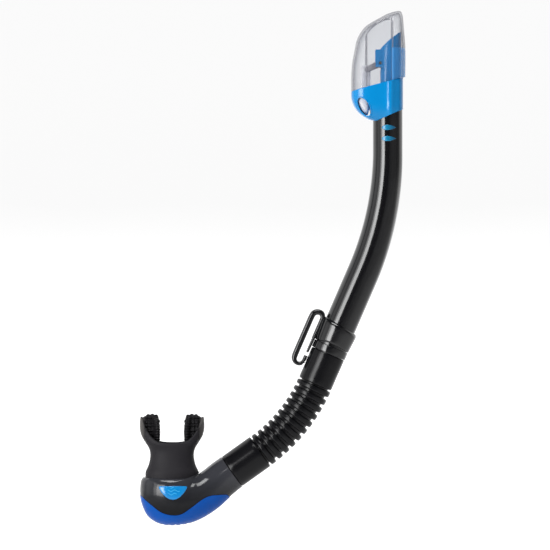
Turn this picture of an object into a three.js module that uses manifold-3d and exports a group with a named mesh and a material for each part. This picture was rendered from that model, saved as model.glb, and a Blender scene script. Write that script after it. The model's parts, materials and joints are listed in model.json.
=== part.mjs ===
// Dry-top snorkel: a float-valve dry top, a curved oval-shouldered tube, a swivelling mask-strap clip,
// a corrugated silicone hose, and a purge chamber with a silicone mouthpiece.
// Millimetres, +Z up, +X away from the face, Y across the tube. The origin is the centre of the strap slot.
import * as THREE from "three";
import { mergeVertices } from "three/addons/utils/BufferGeometryUtils.js";
import Module from "manifold-3d";

const wasm = await Module();
wasm.setup();

// ---------------------------------------------------------------- driving dimensions
const GAP = 0.3; // clearance between pieces that touch
const FIT = 0.5; // clearance where a round spigot sits in a softer, coarser bore
const deg = THREE.MathUtils.degToRad;

// Centreline: a straight run at the clip, an arc up to the vertical dry top, an arc down through the hose.
const LEAN = deg(23.5); // lean of the straight run from vertical
const CLIP_REACH = 20.4; // strap slot's centre to the tube's axis
const STRAIGHT_TOP = 70; // along the axis, from the slot's level to the start of the upper arc
const UPPER_ARC_RADIUS = 263;
const HOSE_START = -32; // along the axis, where the corrugations begin
const HOSE_LENGTH = 75.8;
const HOSE_BEND = deg(31); // turn of the hose at rest
const HOSE_END = HOSE_START - HOSE_LENGTH;

// Main tube
const TUBE_RADIUS_LOW = 14;
const TUBE_RADIUS_TOP = 12.7;
const TUBE_WALL = 1.9;
const TUBE_TOP_Z = 206.5;
const TOP_SPIGOT_RADIUS = 10.6;
const TOP_BORE_RADIUS = 8.8;
const HOSE_SPIGOT_RADIUS = 12.4;
const HOSE_SPIGOT_END = -28;
const CLIP_BEAD = { at: 10, radius: 14.7, width: 2 };

// Strap clip
const BAND = { bottom: 3.4, topRight: 20.2, topLeft: 22.8, radius: 16.4 };
const SLOT = { halfWidth: 2.9, end: 18 };
const LOOP = { outer: 6.8, topRise: 6.9, bottomDrop: 5.1, inner: 5.8, halfDepth: 4.5 };
const LATCH = { barEnd: -9.5, tipTop: -12.6, barInner: 4.3, tipInner: 4.9 };
const CUFF_RING = { bottom: -3.4, top: 3, radius: 15.6 };

// Hose
const CUFF_RADIUS = 15;
const LOWER_CUFF_RADIUS = 15.4;
const LOWER_CUFF_LENGTH = 30;
const RIDGES = 11;
const RIDGE_PITCH = 6.84;
const FIRST_RIDGE = 2.9; // from the upper cuff's edge to the first ridge's middle
const RIDGE_RADIUS = 15.3;
const GROOVE_RADIUS = 12.8;
const HOSE_BORE = 11.3;
const CUFF_END = HOSE_END - LOWER_CUFF_LENGTH;
const BUSH = { inner: 12, outer: 13.1 };

// Purge chamber
const CHAMBER_X = -117; // the mouthpiece's axis
const CHAMBER = { waistZ: -127.2, bottomZ: -160.3, halfWidth: 27.8, halfDepth: 22, rimZ: -118, rimWidth: 25.8, rimDepth: 18.3 };
const ARM = { radius: 15.7, flare: 17, length: 45, bore: 10.3, spigot: 11.7, spigotBore: 9.9 };
const GUARD_WALL = 2;
const CHAMBER_WALL = 4.4;
const PURGE_X = -114;
const SEAT_Z = -148.3; // top of the purge seat
const SEAT_RADIUS = 12;
const SEAT_THICKNESS = 1.6;

// Mouthpiece
const PLUG = { halfWidth: 22.9, halfDepth: 15.3, bottomZ: -124 };
const SPIGOT = { halfWidth: 17.6, halfDepth: 10.6, wall: 1.6, topZ: -114 };
const NECK_BORE = { halfWidth: 14, halfDepth: 8.8 };
// The lip flange, a bell that rises towards both cheeks: half width, half depth, z at the front, rise at the sides.
const BELL = [
  [20, 13, -93.8, 1.6], [23.6, 13.5, -91.8, 5], [26.6, 13.9, -90.4, 9.2], [27.8, 14, -89.5, 15], [27.4, 14.1, -88.9, 22.6],
];
const BELL_WALL = 1.9;
const BELL_POWER = 3.4; // how late the rise comes on the way round
const TAB = { inner: 11, outer: 26.2, bottomZ: -90, topZ: -64.4, halfThickness: 2.2, lugDepth: 5.6, lugWidth: 4.4 };

// Dry top
const COVER_WALL = 1.6;
const BASE_WALL = 2.2;
const DECK_Z = 214; // floor of the dry top's upper room
const SOCKET_RADIUS = 11.2;
const SEAL_Z = 203;
const TOWER = { left: 61.8, footRight: 78.7, right: 79.9, halfDepth: 9.6, wall: 1.5, lowLip: 250, highLip: 265 };
const PIVOT = { x: 61.8, z: 238, radius: 1 };
const VALVE_SWING = deg(26); // lever's turn from open to shut
const LEVER = { arm: 12.3, flapArm: 9.5, halfThickness: 1.2, flapRadius: 6.7, flapThickness: 1.6 };
const FLOAT_TOP = 212.5;
// Float levels and the room round it: z, left, right, half depth.
const FLOAT_LEVELS = [
  [193.7, 49, 51.4, 5], [196.8, 45.9, 52.2, 9.3], [200, 43.3, 52.7, 10.4], [204, 41.3, 52.8, 10.9],
  [211, 40.6, 52.8, 10.9], [FLOAT_TOP, 42, 51.4, 9.4],
];
const FLOAT_ROOM = [
  [193, 48.8, 53.5, 9], [196, 45.4, 54.6, 11.6], [199.5, 42.6, 54.9, 12.2], [203.5, 40.4, 54.9, 12.4],
  [216, 39.2, 54.9, 12.4],
];

// ---------------------------------------------------------------- materials
const finish = (color, roughness, metalness = 0, opacity = 1) =>
  new THREE.MeshStandardMaterial({ color, roughness, metalness, opacity, transparent: opacity < 1 });
const MATERIALS = {
  blackTube: finish(0x131316, 0.18),
  blackSilicone: finish(0x17171a, 0.4),
  mouthSilicone: finish(0x2b2b30, 0.55),
  smoke: finish(0x33353a, 0.15, 0, 0.8),
  blue: finish(0x0a6fd0, 0.22),
  blueTrim: finish(0x1286c8, 0.3),
  clear: finish(0xe8ecf2, 0.05, 0, 0.3),
  grey: finish(0x9c9a9c, 0.4),
  white: finish(0xeceaea, 0.5),
  clearSilicone: finish(0xcfd4d8, 0.35, 0, 0.7),
  steel: finish(0xb8babd, 0.25, 1),
};

// ---------------------------------------------------------------- solids and lofts
function solid(geometry) {
  const bare = geometry.clone();
  bare.deleteAttribute("normal");
  bare.deleteAttribute("uv");
  const merged = mergeVertices(bare, 1e-4);
  return new wasm.Manifold(new wasm.Mesh({
    numProp: 3,
    vertProperties: merged.attributes.position.array,
    triVerts: new Uint32Array(merged.index.array),
  }));
}

function geometryOf(body) {
  const mesh = body.getMesh();
  const geometry = new THREE.BufferGeometry();
  geometry.setAttribute("position", new THREE.BufferAttribute(mesh.vertProperties, 3));
  geometry.setIndex(new THREE.BufferAttribute(mesh.triVerts, 1));
  return geometry;
}

const unite = (...bodies) => bodies.reduce((whole, body) => whole.add(body));

const movedBy = (geometry, matrix) => solid(geometry.applyMatrix4(matrix));

// A closed ring of points in a local XY plane: an ellipse at power 2, squarer as the power rises.
function ovalRing(halfX, halfY, power, sides) {
  return Array.from({ length: sides }, (_, i) => {
    const a = (2 * Math.PI * i) / sides;
    const round = (v) => Math.sign(v) * Math.abs(v) ** (2 / power);
    return new THREE.Vector3(halfX * round(Math.cos(a)), halfY * round(Math.sin(a)), 0);
  });
}

// A closed solid through rings that go up their local +Z, each the same number of points.
function loft(rings) {
  const sides = rings[0].length;
  const centre = (ring) => ring.reduce((sum, p) => sum.add(p), new THREE.Vector3()).divideScalar(sides);
  const points = [...rings.flat(), centre(rings[0]), centre(rings.at(-1))];
  const bottom = points.length - 2;
  const index = [];
  for (let i = 0; i < sides; i++) {
    const j = (i + 1) % sides;
    for (let k = 0; k < rings.length - 1; k++) {
      const low = k * sides;
      const high = low + sides;
      index.push(low + i, low + j, high + j, low + i, high + j, high + i);
    }
    const last = (rings.length - 1) * sides;
    index.push(bottom, j, i, bottom + 1, last + i, last + j);
  }
  const geometry = new THREE.BufferGeometry().setFromPoints(points);
  geometry.setIndex(index);
  return solid(geometry);
}

// A loft of level ovals: each level is [z, left x, right x, half depth].
function levelLoft(levels, power, sides, inset = 0) {
  return loft(levels.map(([z, left, right, halfDepth]) => {
    const ring = ovalRing((right - left) / 2 - inset, halfDepth - inset, power, sides);
    return ring.map((p) => p.add(new THREE.Vector3((left + right) / 2, 0, z)));
  }));
}

const upright = (x, z, halfX, halfY, height, power = 2, sides = 28) =>
  levelLoft([[z, x - halfX, x + halfX, halfY], [z + height, x - halfX, x + halfX, halfY]], power, sides);

function box(x, y, z, sizeX, sizeY, sizeZ) {
  return solid(new THREE.BoxGeometry(sizeX, sizeY, sizeZ).translate(x, y, z));
}

// A rod along Y.
function crossRod(x, z, radius, length, sides = 16) {
  return solid(new THREE.CylinderGeometry(radius, radius, length, sides).translate(x, 0, z));
}

const pin = (length) => crossRod(0, 0, PIVOT.radius, length);

// A shape drawn in the XZ plane, as thick in Y as asked, about Y = middle.
function slab(shape, thickness, middle = 0, curveSegments = 8) {
  const geometry = new THREE.ExtrudeGeometry(shape, { depth: thickness, bevelEnabled: false, curveSegments });
  return solid(geometry.rotateX(Math.PI / 2).translate(0, middle + thickness / 2, 0));
}

// A body of revolution about local Z: profile points are [radius, z], anticlockwise with the axis on the left.
function turned(profile, matrix = new THREE.Matrix4(), sides = 28) {
  const points = profile.map(([r, z]) => new THREE.Vector2(r, z));
  return movedBy(new THREE.LatheGeometry(points, sides).rotateX(Math.PI / 2), matrix);
}

const ringProfile = (inner, outer, low, high) =>
  [[inner, low], [outer, low], [outer, high], [inner, high], [inner, low]];

// ---------------------------------------------------------------- the centreline
// Where the axis is at a distance along it, and its lean there. Distance 0 is level with the strap slot.
function axisAt(s) {
  const start = { x: CLIP_REACH * Math.cos(LEAN), z: -CLIP_REACH * Math.sin(LEAN) };
  const along = (from, length, lean) =>
    ({ x: from.x + length * Math.sin(lean), z: from.z + length * Math.cos(lean), lean });
  // An arc of the given radius from one lean to another; x and z follow from the change of lean.
  const arc = (from, radius, lean0, lean1) => ({
    x: from.x + radius * (Math.cos(lean1) - Math.cos(lean0)) * Math.sign(lean0 - lean1),
    z: from.z + radius * Math.abs(Math.sin(lean0) - Math.sin(lean1)),
    lean: lean1,
  });
  if (s > STRAIGHT_TOP) {
    const bottom = along(start, STRAIGHT_TOP, LEAN);
    const turn = Math.min((s - STRAIGHT_TOP) / UPPER_ARC_RADIUS, LEAN);
    const bent = arc(bottom, UPPER_ARC_RADIUS, LEAN, LEAN - turn);
    return along(bent, s - STRAIGHT_TOP - turn * UPPER_ARC_RADIUS, bent.lean);
  }
  if (s < HOSE_START) {
    const top = along(start, HOSE_START, LEAN);
    const radius = HOSE_LENGTH / HOSE_BEND;
    const turn = Math.min((HOSE_START - s) / radius, HOSE_BEND);
    const bent = {
      x: top.x - radius * (Math.cos(LEAN) - Math.cos(LEAN + turn)),
      z: top.z - radius * (Math.sin(LEAN + turn) - Math.sin(LEAN)),
    };
    return along(bent, s - HOSE_START + turn * radius, LEAN + turn);
  }
  return along(start, s, LEAN);
}

function placeAt(s) {
  const { x, z, lean } = axisAt(s);
  return new THREE.Matrix4().makeRotationY(lean).setPosition(x, 0, z);
}

// A round body along the centreline: each station is [distance, radius], going up.
const sweep = (stations, sides) =>
  loft(stations.map(([s, r]) => ovalRing(r, r, 2, sides).map((p) => p.applyMatrix4(placeAt(s)))));

const arcTop = STRAIGHT_TOP + LEAN * UPPER_ARC_RADIUS;
const TOP_X = axisAt(arcTop).x; // the axis where the tube stands upright
const distanceOfHeight = (z) => arcTop + (z - axisAt(arcTop).z);
const TUBE_TOP = distanceOfHeight(TUBE_TOP_Z);

// Tube radius, which tapers over the upper arc.
function tubeRadius(s) {
  const share = THREE.MathUtils.clamp((s - STRAIGHT_TOP) / (arcTop - STRAIGHT_TOP), 0, 1);
  return TUBE_RADIUS_LOW + share * (TUBE_RADIUS_TOP - TUBE_RADIUS_LOW);
}

function tubeStations(inset, from, to) {
  const bends = Array.from({ length: 8 }, (_, i) => STRAIGHT_TOP + (i / 7) * (arcTop - STRAIGHT_TOP));
  return [from, ...bends.filter((s) => s > from && s < to), to].map((s) => [s, tubeRadius(s) - inset]);
}

// ---------------------------------------------------------------- dry top outlines
// Cover levels: z, left, right, half depth.
const COVER_LEVELS = [
  [208, 36.9, 83.6, 15.3], [230, 37.3, 83.7, 15.3], [245, 39.4, 83.6, 15.2], [256, 41.9, 83, 15],
  [264, 45.6, 82.4, 14.1], [270.5, 52, 82, 12.8], [276.5, 61.2, 81.4, 10.5], [281, 69, 80.3, 7.6],
  [283.2, 73.8, 79, 4.4],
];
const PARTING = { left: 36, right: 85, leftZ: 213.2, rightZ: 223.4 };

// Everything below the cover's lower edge, as a side outline; lift shifts the line up.
function belowParting(lift) {
  const shape = new THREE.Shape();
  shape.moveTo(PARTING.left, 150);
  shape.lineTo(PARTING.right, 150);
  shape.lineTo(PARTING.right, PARTING.rightZ + lift);
  shape.lineTo(PARTING.left, PARTING.leftZ + lift);
  return slab(shape, 60);
}

// The base seen from the side: a rounded float lobe on the left and a sloping foot on the right.
function baseSide(grow) {
  const shape = new THREE.Shape();
  shape.moveTo(90, 201.5 - grow);
  shape.lineTo(90, 240);
  shape.lineTo(36.6 - grow, 240);
  shape.lineTo(36.6 - grow, 208);
  shape.bezierCurveTo(38 - grow, 199.5 - grow, 45.5 - grow, 190.5 - grow, 57, 187.9 - grow);
  shape.lineTo(60, 188.9 - grow);
  return slab(shape, 60, 0, 10);
}

const BASE_LEVELS = [[180, 36.9, 81.4, 15], [DECK_Z, 37, 81.6, 15.1], [230, 37.1, 81.6, 15.1]];

// ---------------------------------------------------------------- dry top pieces
function topCover() {
  const inside = COVER_LEVELS.map(([z, left, right, halfDepth], i) =>
    [i ? z - COVER_WALL : z - 5, left, right, halfDepth]);
  const shell = levelLoft(COVER_LEVELS, 3, 28).subtract(levelLoft(inside, 3, 28, COVER_WALL));
  const vents = [-4.6, 4.6].map((y) => box(83, y, 238, 8, 3.4, 20));
  return shell.subtract(belowParting(GAP)).subtract(unite(...vents));
}

function dryTopBase() {
  const windowTilt = new THREE.Matrix4().makeRotationY(deg(-30)).setPosition(48, 0, 200.2);
  const window = new THREE.Shape().absellipse(0, 0, 4.3, 8.8, 0, 2 * Math.PI);
  const outer = levelLoft(BASE_LEVELS, 3, 28).intersect(baseSide(0)).intersect(belowParting(0));
  const roomLevels = BASE_LEVELS.map(([, left, right, depth], i) => [[DECK_Z, 225, 235][i], left, right, depth]);
  const room = levelLoft(roomLevels, 3, 28, BASE_WALL);
  const chamber = levelLoft(FLOAT_ROOM, 3, 28);
  const socket = upright(TOP_X, 180, SOCKET_RADIUS, SOCKET_RADIUS, TUBE_TOP_Z + GAP - 180);
  const airway = upright(TOP_X, 200, TOP_BORE_RADIUS, TOP_BORE_RADIUS, 20);
  const windowCut = slab(window, 60, 0, 12).transform(windowTilt.elements);
  return outer.subtract(unite(room, chamber, socket, airway)).subtract(windowCut);
}

// The tower is a chimney with a sloping lip, ears for the lever's pin, and a slot that the lever swings in.
function valveTower() {
  const { left, footRight, right, halfDepth, wall } = TOWER;
  const lip = new THREE.Shape();
  lip.moveTo(50, 200);
  lip.lineTo(90, 200);
  lip.lineTo(90, TOWER.highLip + 8);
  lip.lineTo(right, TOWER.highLip);
  lip.quadraticCurveTo((left + right) / 2, TOWER.highLip - 5, left, TOWER.lowLip);
  lip.lineTo(50, TOWER.lowLip);
  const foot = upright(TOP_X, DECK_Z + GAP, 10.2, 11.2, 3, 2.4);
  const levels = [[DECK_Z + GAP, footRight], [224, footRight], [226, right], [275, right]];
  const chimney = levelLoft(levels.map(([z, edge]) => [z, left, edge, halfDepth]), 3, 28);
  const bore = levelLoft([[DECK_Z, footRight], ...levels.slice(1)].map(([z, edge]) => [z, left, edge, halfDepth]),
    3, 28, wall);
  const ears = [-7, 7].map((y) => box(PIVOT.x - 0.8, y, PIVOT.z + 4, 6.4, 1.8, 15));
  const lever = box(PIVOT.x - 2, 0, PIVOT.z + 0.6, 9, 11.4, 13);
  return unite(foot, chimney.subtract(lever), ...ears)
    .intersect(slab(lip, 60))
    .subtract(unite(bore, crossRod(PIVOT.x, PIVOT.z, PIVOT.radius + GAP, 40)));
}

function valveSeat() {
  const top = PIVOT.z - LEVER.halfThickness - GAP - LEVER.flapThickness - GAP;
  const { left, right, halfDepth, wall } = TOWER;
  const plate = levelLoft([[top - 3.2, left, right, halfDepth], [top - 1.2, left, right, halfDepth]], 3, 28, wall + GAP);
  const middle = PIVOT.x + LEVER.flapArm;
  const lip = upright(middle, top - 1.5, 6.1, 6.1, 1.5, 2, 24);
  return plate.add(lip).subtract(upright(middle, top - 6, 5.3, 5.3, 8, 2, 24));
}

// The lever's own frame has its pin at the origin and lies level when the valve is shut.
const linkEnd = {
  x: PIVOT.x - LEVER.arm * Math.cos(VALVE_SWING),
  z: PIVOT.z - LEVER.arm * Math.sin(VALVE_SWING),
};

function valveLever() {
  const { arm, flapArm, halfThickness } = LEVER;
  const bar = box((flapArm - arm) / 2, 0, 0, flapArm + arm - 2, 8, 2 * halfThickness);
  const eye = solid(new THREE.CylinderGeometry(2.4, 2.4, 9.6, 20));
  const knuckle = solid(new THREE.CylinderGeometry(2.1, 2.1, 8, 20).translate(-arm, 0, 0));
  const plate = turned(ringProfile(2.1, 5.6, -halfThickness, halfThickness),
    new THREE.Matrix4().makeTranslation(flapArm, 0, 0), 24);
  const fork = box(-arm + 0.3, 0, 0, 9.6, 3.6, 8);
  const hole = solid(new THREE.CylinderGeometry(PIVOT.radius + GAP, PIVOT.radius + GAP, 20, 16));
  const linkHole = solid(new THREE.CylinderGeometry(1.3, 1.3, 20, 16).translate(-arm, 0, 0));
  const stud = turned([[0, -4], [2.1, -4], [2.1, 4], [0, 4]],
    new THREE.Matrix4().makeTranslation(flapArm, 0, 0), 24);
  return unite(bar, eye, knuckle).subtract(stud).add(plate).subtract(unite(fork, hole, linkHole));
}

// A silicone disc whose stud snaps through the lever's plate.
function flapSeal() {
  const under = -LEVER.halfThickness - GAP;
  const disc = [
    [0, under - LEVER.flapThickness], [LEVER.flapRadius, under - LEVER.flapThickness],
    [LEVER.flapRadius, under], [1.8, under], [1.8, LEVER.halfThickness + GAP],
    [2.9, LEVER.halfThickness + GAP], [2.2, LEVER.halfThickness + 1.6], [0, LEVER.halfThickness + 1.6],
  ];
  return turned(disc, new THREE.Matrix4().makeTranslation(LEVER.flapArm, 0, 0), 28);
}

// A buoyant block with a blade on top; the blade's slot takes the lever's link pin.
function float() {
  const block = levelLoft(FLOAT_LEVELS, 3, 28);
  const blade = box(linkEnd.x - 1, 0, (FLOAT_TOP + linkEnd.z + 3) / 2, 7.6, 2.4, linkEnd.z + 4 - FLOAT_TOP);
  const slot = box(linkEnd.x - 0.6, 0, linkEnd.z, 4, 6, 2.8);
  return block.add(blade).subtract(slot);
}

const tubeSeal = () => turned(ringProfile(10, 10.9, -0.8, 0.8));

// ---------------------------------------------------------------- tube, inlays, clip
// Two leaf-shaped inlays on the front of the tube, one above the other.
const INLAYS = [{ name: "inlay_upper", z: 182.4 }, { name: "inlay_lower", z: 172.9 }];

function leaf(z, grow) {
  const shape = new THREE.Shape();
  const [left, right, half] = [63.4 - grow, 75.6 + grow, 2.5 + grow];
  shape.moveTo(left, z);
  shape.bezierCurveTo(left, z - half * 1.4, right - 5, z - half * 1.1, right, z);
  shape.bezierCurveTo(right - 5, z + half * 1.1, left, z + half * 1.4, left, z);
  return slab(shape, 30, -15);
}

function mainTube() {
  const shoulderAt = CUFF_RING.bottom;
  const foot = [[HOSE_SPIGOT_END, HOSE_SPIGOT_RADIUS], [shoulderAt, HOSE_SPIGOT_RADIUS],
    [shoulderAt + 0.2, TUBE_RADIUS_LOW]];
  const bead = CLIP_BEAD.width / 2;
  const seat = [
    [CLIP_BEAD.at - bead - 0.8, TUBE_RADIUS_LOW], [CLIP_BEAD.at - bead, CLIP_BEAD.radius],
    [CLIP_BEAD.at + bead, CLIP_BEAD.radius], [CLIP_BEAD.at + bead + 0.8, TUBE_RADIUS_LOW],
  ];
  const outer = sweep([...foot, ...seat, ...tubeStations(0, 30, TUBE_TOP)], 20);
  const shoulder = baseSide(GAP);
  const spigot = upright(TOP_X, 186, TOP_SPIGOT_RADIUS, TOP_SPIGOT_RADIUS, TUBE_TOP_Z - 186);
  const sealGroove = turned(ringProfile(9.7, 14, -1.1, 1.1),
    new THREE.Matrix4().makeTranslation(TOP_X, 0, SEAL_Z), 28);
  const bore = sweep([
    [HOSE_SPIGOT_END - 1, HOSE_BORE - 0.6], [-6, HOSE_BORE - 0.6],
    ...tubeStations(TUBE_WALL, 2, distanceOfHeight(176)),
    [distanceOfHeight(184), TOP_BORE_RADIUS], [TUBE_TOP + 1, TOP_BORE_RADIUS],
  ], 20);
  const skin = sweep(tubeStations(1.3, arcTop - 20, distanceOfHeight(190)), 20);
  const pockets = unite(...INLAYS.map(({ z }) => leaf(z, FIT))).subtract(skin);
  return outer.subtract(shoulder).add(spigot.subtract(sealGroove)).subtract(bore).subtract(pockets);
}

function inlay(z) {
  const proud = sweep(tubeStations(-0.5, arcTop - 20, distanceOfHeight(190)), 20);
  const under = sweep(tubeStations(0.85, arcTop - 20, distanceOfHeight(190)), 20);
  return leaf(z, 0).intersect(proud).subtract(under);
}

// The clip's own frame leans with the tube; x runs from the strap slot to the tube.
function clipLoop() {
  const { outer, topRise, bottomDrop, inner } = LOOP;
  const { halfWidth, end } = SLOT;
  const shape = new THREE.Shape();
  shape.moveTo(-outer, -end);
  shape.absellipse(0, -end, outer, bottomDrop, Math.PI, 1.5 * Math.PI, false);
  shape.absellipse(0, -end, LATCH.tipInner, bottomDrop, 1.5 * Math.PI, 2 * Math.PI, false);
  shape.lineTo(LATCH.tipInner, LATCH.tipTop);
  shape.lineTo(halfWidth, LATCH.tipTop - 1);
  shape.lineTo(halfWidth, -end);
  shape.absellipse(0, -end, halfWidth, halfWidth, 0, Math.PI, true);
  shape.lineTo(-halfWidth, end);
  shape.absellipse(0, end, halfWidth, halfWidth, Math.PI, 0, true);
  shape.lineTo(halfWidth, LATCH.barEnd);
  shape.lineTo(LATCH.barInner, LATCH.barEnd + 0.8);
  shape.lineTo(LATCH.barInner, BAND.bottom);
  shape.lineTo(inner, BAND.bottom + 1);
  shape.lineTo(inner, end);
  shape.absellipse(0, end, inner, topRise, 0, Math.PI / 2, false);
  shape.absellipse(0, end, outer, topRise, Math.PI / 2, Math.PI, false);
  return slab(shape, 2 * LOOP.halfDepth, 0, 6);
}

function strapClip() {
  const axis = new THREE.Matrix4().makeTranslation(CLIP_REACH, 0, 0);
  const band = turned(ringProfile(TUBE_RADIUS_LOW + GAP, BAND.radius, BAND.bottom, 24), axis, 32);
  const slope = new THREE.Shape();
  slope.moveTo(CLIP_REACH - 20, -40);
  slope.lineTo(CLIP_REACH + 20, -40);
  slope.lineTo(CLIP_REACH + 20, BAND.topRight);
  slope.lineTo(CLIP_REACH - 20, BAND.topLeft);
  const groove = turned(ringProfile(TUBE_RADIUS_LOW, CLIP_BEAD.radius + GAP,
    CLIP_BEAD.at - CLIP_BEAD.width, CLIP_BEAD.at + CLIP_BEAD.width), axis, 32);
  const inside = turned([[0, -40], [TUBE_RADIUS_LOW + GAP, -40], [TUBE_RADIUS_LOW + GAP, 40], [0, 40]], axis, 32);
  return band.intersect(slab(slope, 60)).add(clipLoop().subtract(inside)).subtract(groove);
}

const cuffRing = () => sweep([[CUFF_RING.bottom, CUFF_RING.radius], [CUFF_RING.top, CUFF_RING.radius]], 32)
  .subtract(sweep([[CUFF_RING.bottom - 1, TUBE_RADIUS_LOW + GAP], [CUFF_RING.top + 1, TUBE_RADIUS_LOW + GAP]], 32));

// ---------------------------------------------------------------- hose
function flexHose() {
  const sides = 16;
  const cuffs = (s0, s1, radius, ring = 0.8) =>
    [[s0, radius - ring], [s0 + ring, radius], [s1 - ring, radius], [s1, radius - ring]];
  const ridges = [];
  for (let i = RIDGES - 1; i >= 0; i--) {
    const middle = HOSE_START - FIRST_RIDGE - i * RIDGE_PITCH;
    ridges.push([middle - 1.6, RIDGE_RADIUS], [middle + 1.6, RIDGE_RADIUS]);
    if (i > 0) ridges.push([middle + RIDGE_PITCH / 2, GROOVE_RADIUS]);
  }
  const top = CUFF_RING.bottom - GAP;
  const outer = sweep([
    ...cuffs(CUFF_END, HOSE_END, LOWER_CUFF_RADIUS), [HOSE_END + 0.5, GROOVE_RADIUS], ...ridges,
    [HOSE_START - 0.5, GROOVE_RADIUS], ...cuffs(HOSE_START, top, CUFF_RADIUS),
  ], sides);
  const bends = Array.from({ length: 6 }, (_, i) => [HOSE_END + 2 + (i / 5) * (HOSE_LENGTH - 2), HOSE_BORE]);
  const bore = sweep([
    [CUFF_END - 1, BUSH.outer + FIT], [HOSE_END - 2.6, BUSH.outer + FIT], [HOSE_END - 2.2, HOSE_BORE],
    ...bends, [HOSE_SPIGOT_END - 0.6, HOSE_BORE],
    [HOSE_SPIGOT_END - GAP, HOSE_SPIGOT_RADIUS + FIT], [top + 1, HOSE_SPIGOT_RADIUS + FIT],
  ], sides);
  return outer.subtract(bore);
}

const swivelBush = () => sweep([[CUFF_END + 0.6, BUSH.outer], [HOSE_END - 3, BUSH.outer]], 20)
  .subtract(sweep([[CUFF_END - 1, BUSH.inner], [HOSE_END, BUSH.inner]], 20));

// ---------------------------------------------------------------- purge chamber
// The bulb as levels, its lower half an ellipse, its upper half a rim that draws in a little.
function bulb(inset) {
  const { waistZ, bottomZ, halfWidth, halfDepth, rimZ, rimWidth, rimDepth } = CHAMBER;
  const steps = 6;
  const drop = waistZ - bottomZ - inset;
  const levels = Array.from({ length: steps }, (_, i) => {
    const a = deg(88) * (1 - i / (steps - 1));
    const share = Math.cos(a);
    const [width, depth] = [(halfWidth - inset) * share, (halfDepth - inset) * share];
    return [waistZ - drop * Math.sin(a), CHAMBER_X - width, CHAMBER_X + width, depth];
  });
  for (const share of [0.5, 1]) {
    const width = THREE.MathUtils.lerp(halfWidth, rimWidth, share ** 1.6) - inset;
    const depth = THREE.MathUtils.lerp(halfDepth, rimDepth, share ** 1.6) - inset;
    levels.push([THREE.MathUtils.lerp(waistZ, rimZ, share), CHAMBER_X - width, CHAMBER_X + width, depth]);
  }
  return levelLoft(levels, 2.15, 24);
}

// The arm from the hose's lower cuff into the bulb, with a round end.
function arm(inset) {
  const start = CUFF_END - GAP;
  const { radius, flare, length } = ARM;
  const stations = [72, 48, 24].map((a) =>
    [start - length - (flare - inset) * Math.sin(deg(a)), (flare - inset) * Math.cos(deg(a))]);
  return sweep([...stations, [start - length, flare - inset], [start - length / 2, (radius + flare) / 2 - inset],
    [start, radius - inset]], 18);
}

const chamberForm = (inset) => bulb(inset).add(arm(inset));

// The guard's upper edge, a long wave across the front: the region below it, lowered by drop.
function belowGuardLine(drop) {
  const shape = new THREE.Shape();
  shape.moveTo(-150, -132 - drop);
  shape.splineThru([
    [-144.5, -132.9], [-132.6, -142], [-117.4, -149.6], [-107, -147.6], [-91.5, -135.2], [-82, -132.3],
  ].map(([x, z]) => new THREE.Vector2(x, z - drop)));
  shape.lineTo(-69.5 - drop, -132.6 - drop);
  shape.lineTo(-66 - drop, -137);
  shape.lineTo(-66 - drop, -175);
  shape.lineTo(-150, -175);
  return slab(shape, 80, 0, 5);
}

function badgeShape(grow) {
  const shape = new THREE.Shape();
  const [half, top, bottom, corner] = [12.2 + grow, -124.2 + grow, -135.9 - grow, 1.6];
  shape.moveTo(CHAMBER_X + 1.3 - half + corner, top);
  shape.quadraticCurveTo(CHAMBER_X + 1.3 - half, top, CHAMBER_X + 1.3 - half + corner, top - 2);
  shape.quadraticCurveTo(CHAMBER_X - 3.4, bottom, CHAMBER_X + 1.3, bottom);
  shape.quadraticCurveTo(CHAMBER_X + 6, bottom, CHAMBER_X + 1.3 + half - corner, top - 2);
  shape.quadraticCurveTo(CHAMBER_X + 1.3 + half, top, CHAMBER_X + 1.3 + half - corner, top);
  return slab(shape, 30, -15, 4);
}

function elbowBody() {
  const outer = chamberForm(0).subtract(belowGuardLine(-FIT)).add(chamberForm(GUARD_WALL + 2 * GAP));
  const pocket = upright(CHAMBER_X, PLUG.bottomZ - GAP, PLUG.halfWidth + GAP, PLUG.halfDepth + GAP, 30, 2.3, 24);
  const nozzle = upright(CHAMBER_X, PLUG.bottomZ - 1, SPIGOT.halfWidth, SPIGOT.halfDepth,
    SPIGOT.topZ - PLUG.bottomZ + 1, 2.3, 24);
  const mouth = upright(CHAMBER_X, -140, SPIGOT.halfWidth - SPIGOT.wall, SPIGOT.halfDepth - SPIGOT.wall, 40, 2.3, 24);
  const roof = box(CHAMBER_X, 0, -108, 80, 60, 38);
  const floor = box(CHAMBER_X, 0, -171, 80, 60, 50);
  const cavity = chamberForm(CHAMBER_WALL).subtract(roof).subtract(floor);
  const start = CUFF_END - GAP;
  const bore = sweep([[start - ARM.length, ARM.bore], [start, ARM.bore]], 20);
  const spigot = sweep([[start - 2, ARM.spigot], [HOSE_END - 3.2, ARM.spigot]], 20);
  const spigotBore = sweep([[start - 3, ARM.spigotBore], [HOSE_END, ARM.spigotBore]], 20);
  const seatRecess = upright(PURGE_X, -175, SEAT_RADIUS + GAP, SEAT_RADIUS + GAP, 175 + SEAT_Z + GAP, 2, 24);
  const drain = upright(PURGE_X, -150, SEAT_RADIUS - 1.4, SEAT_RADIUS - 1.4, 20, 2, 24);
  const badgePocket = badgeShape(FIT).subtract(chamberForm(1.5));
  return outer.subtract(pocket).add(nozzle).add(spigot)
    .subtract(unite(cavity, mouth, bore, spigotBore, seatRecess, drain)).subtract(badgePocket);
}

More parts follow.
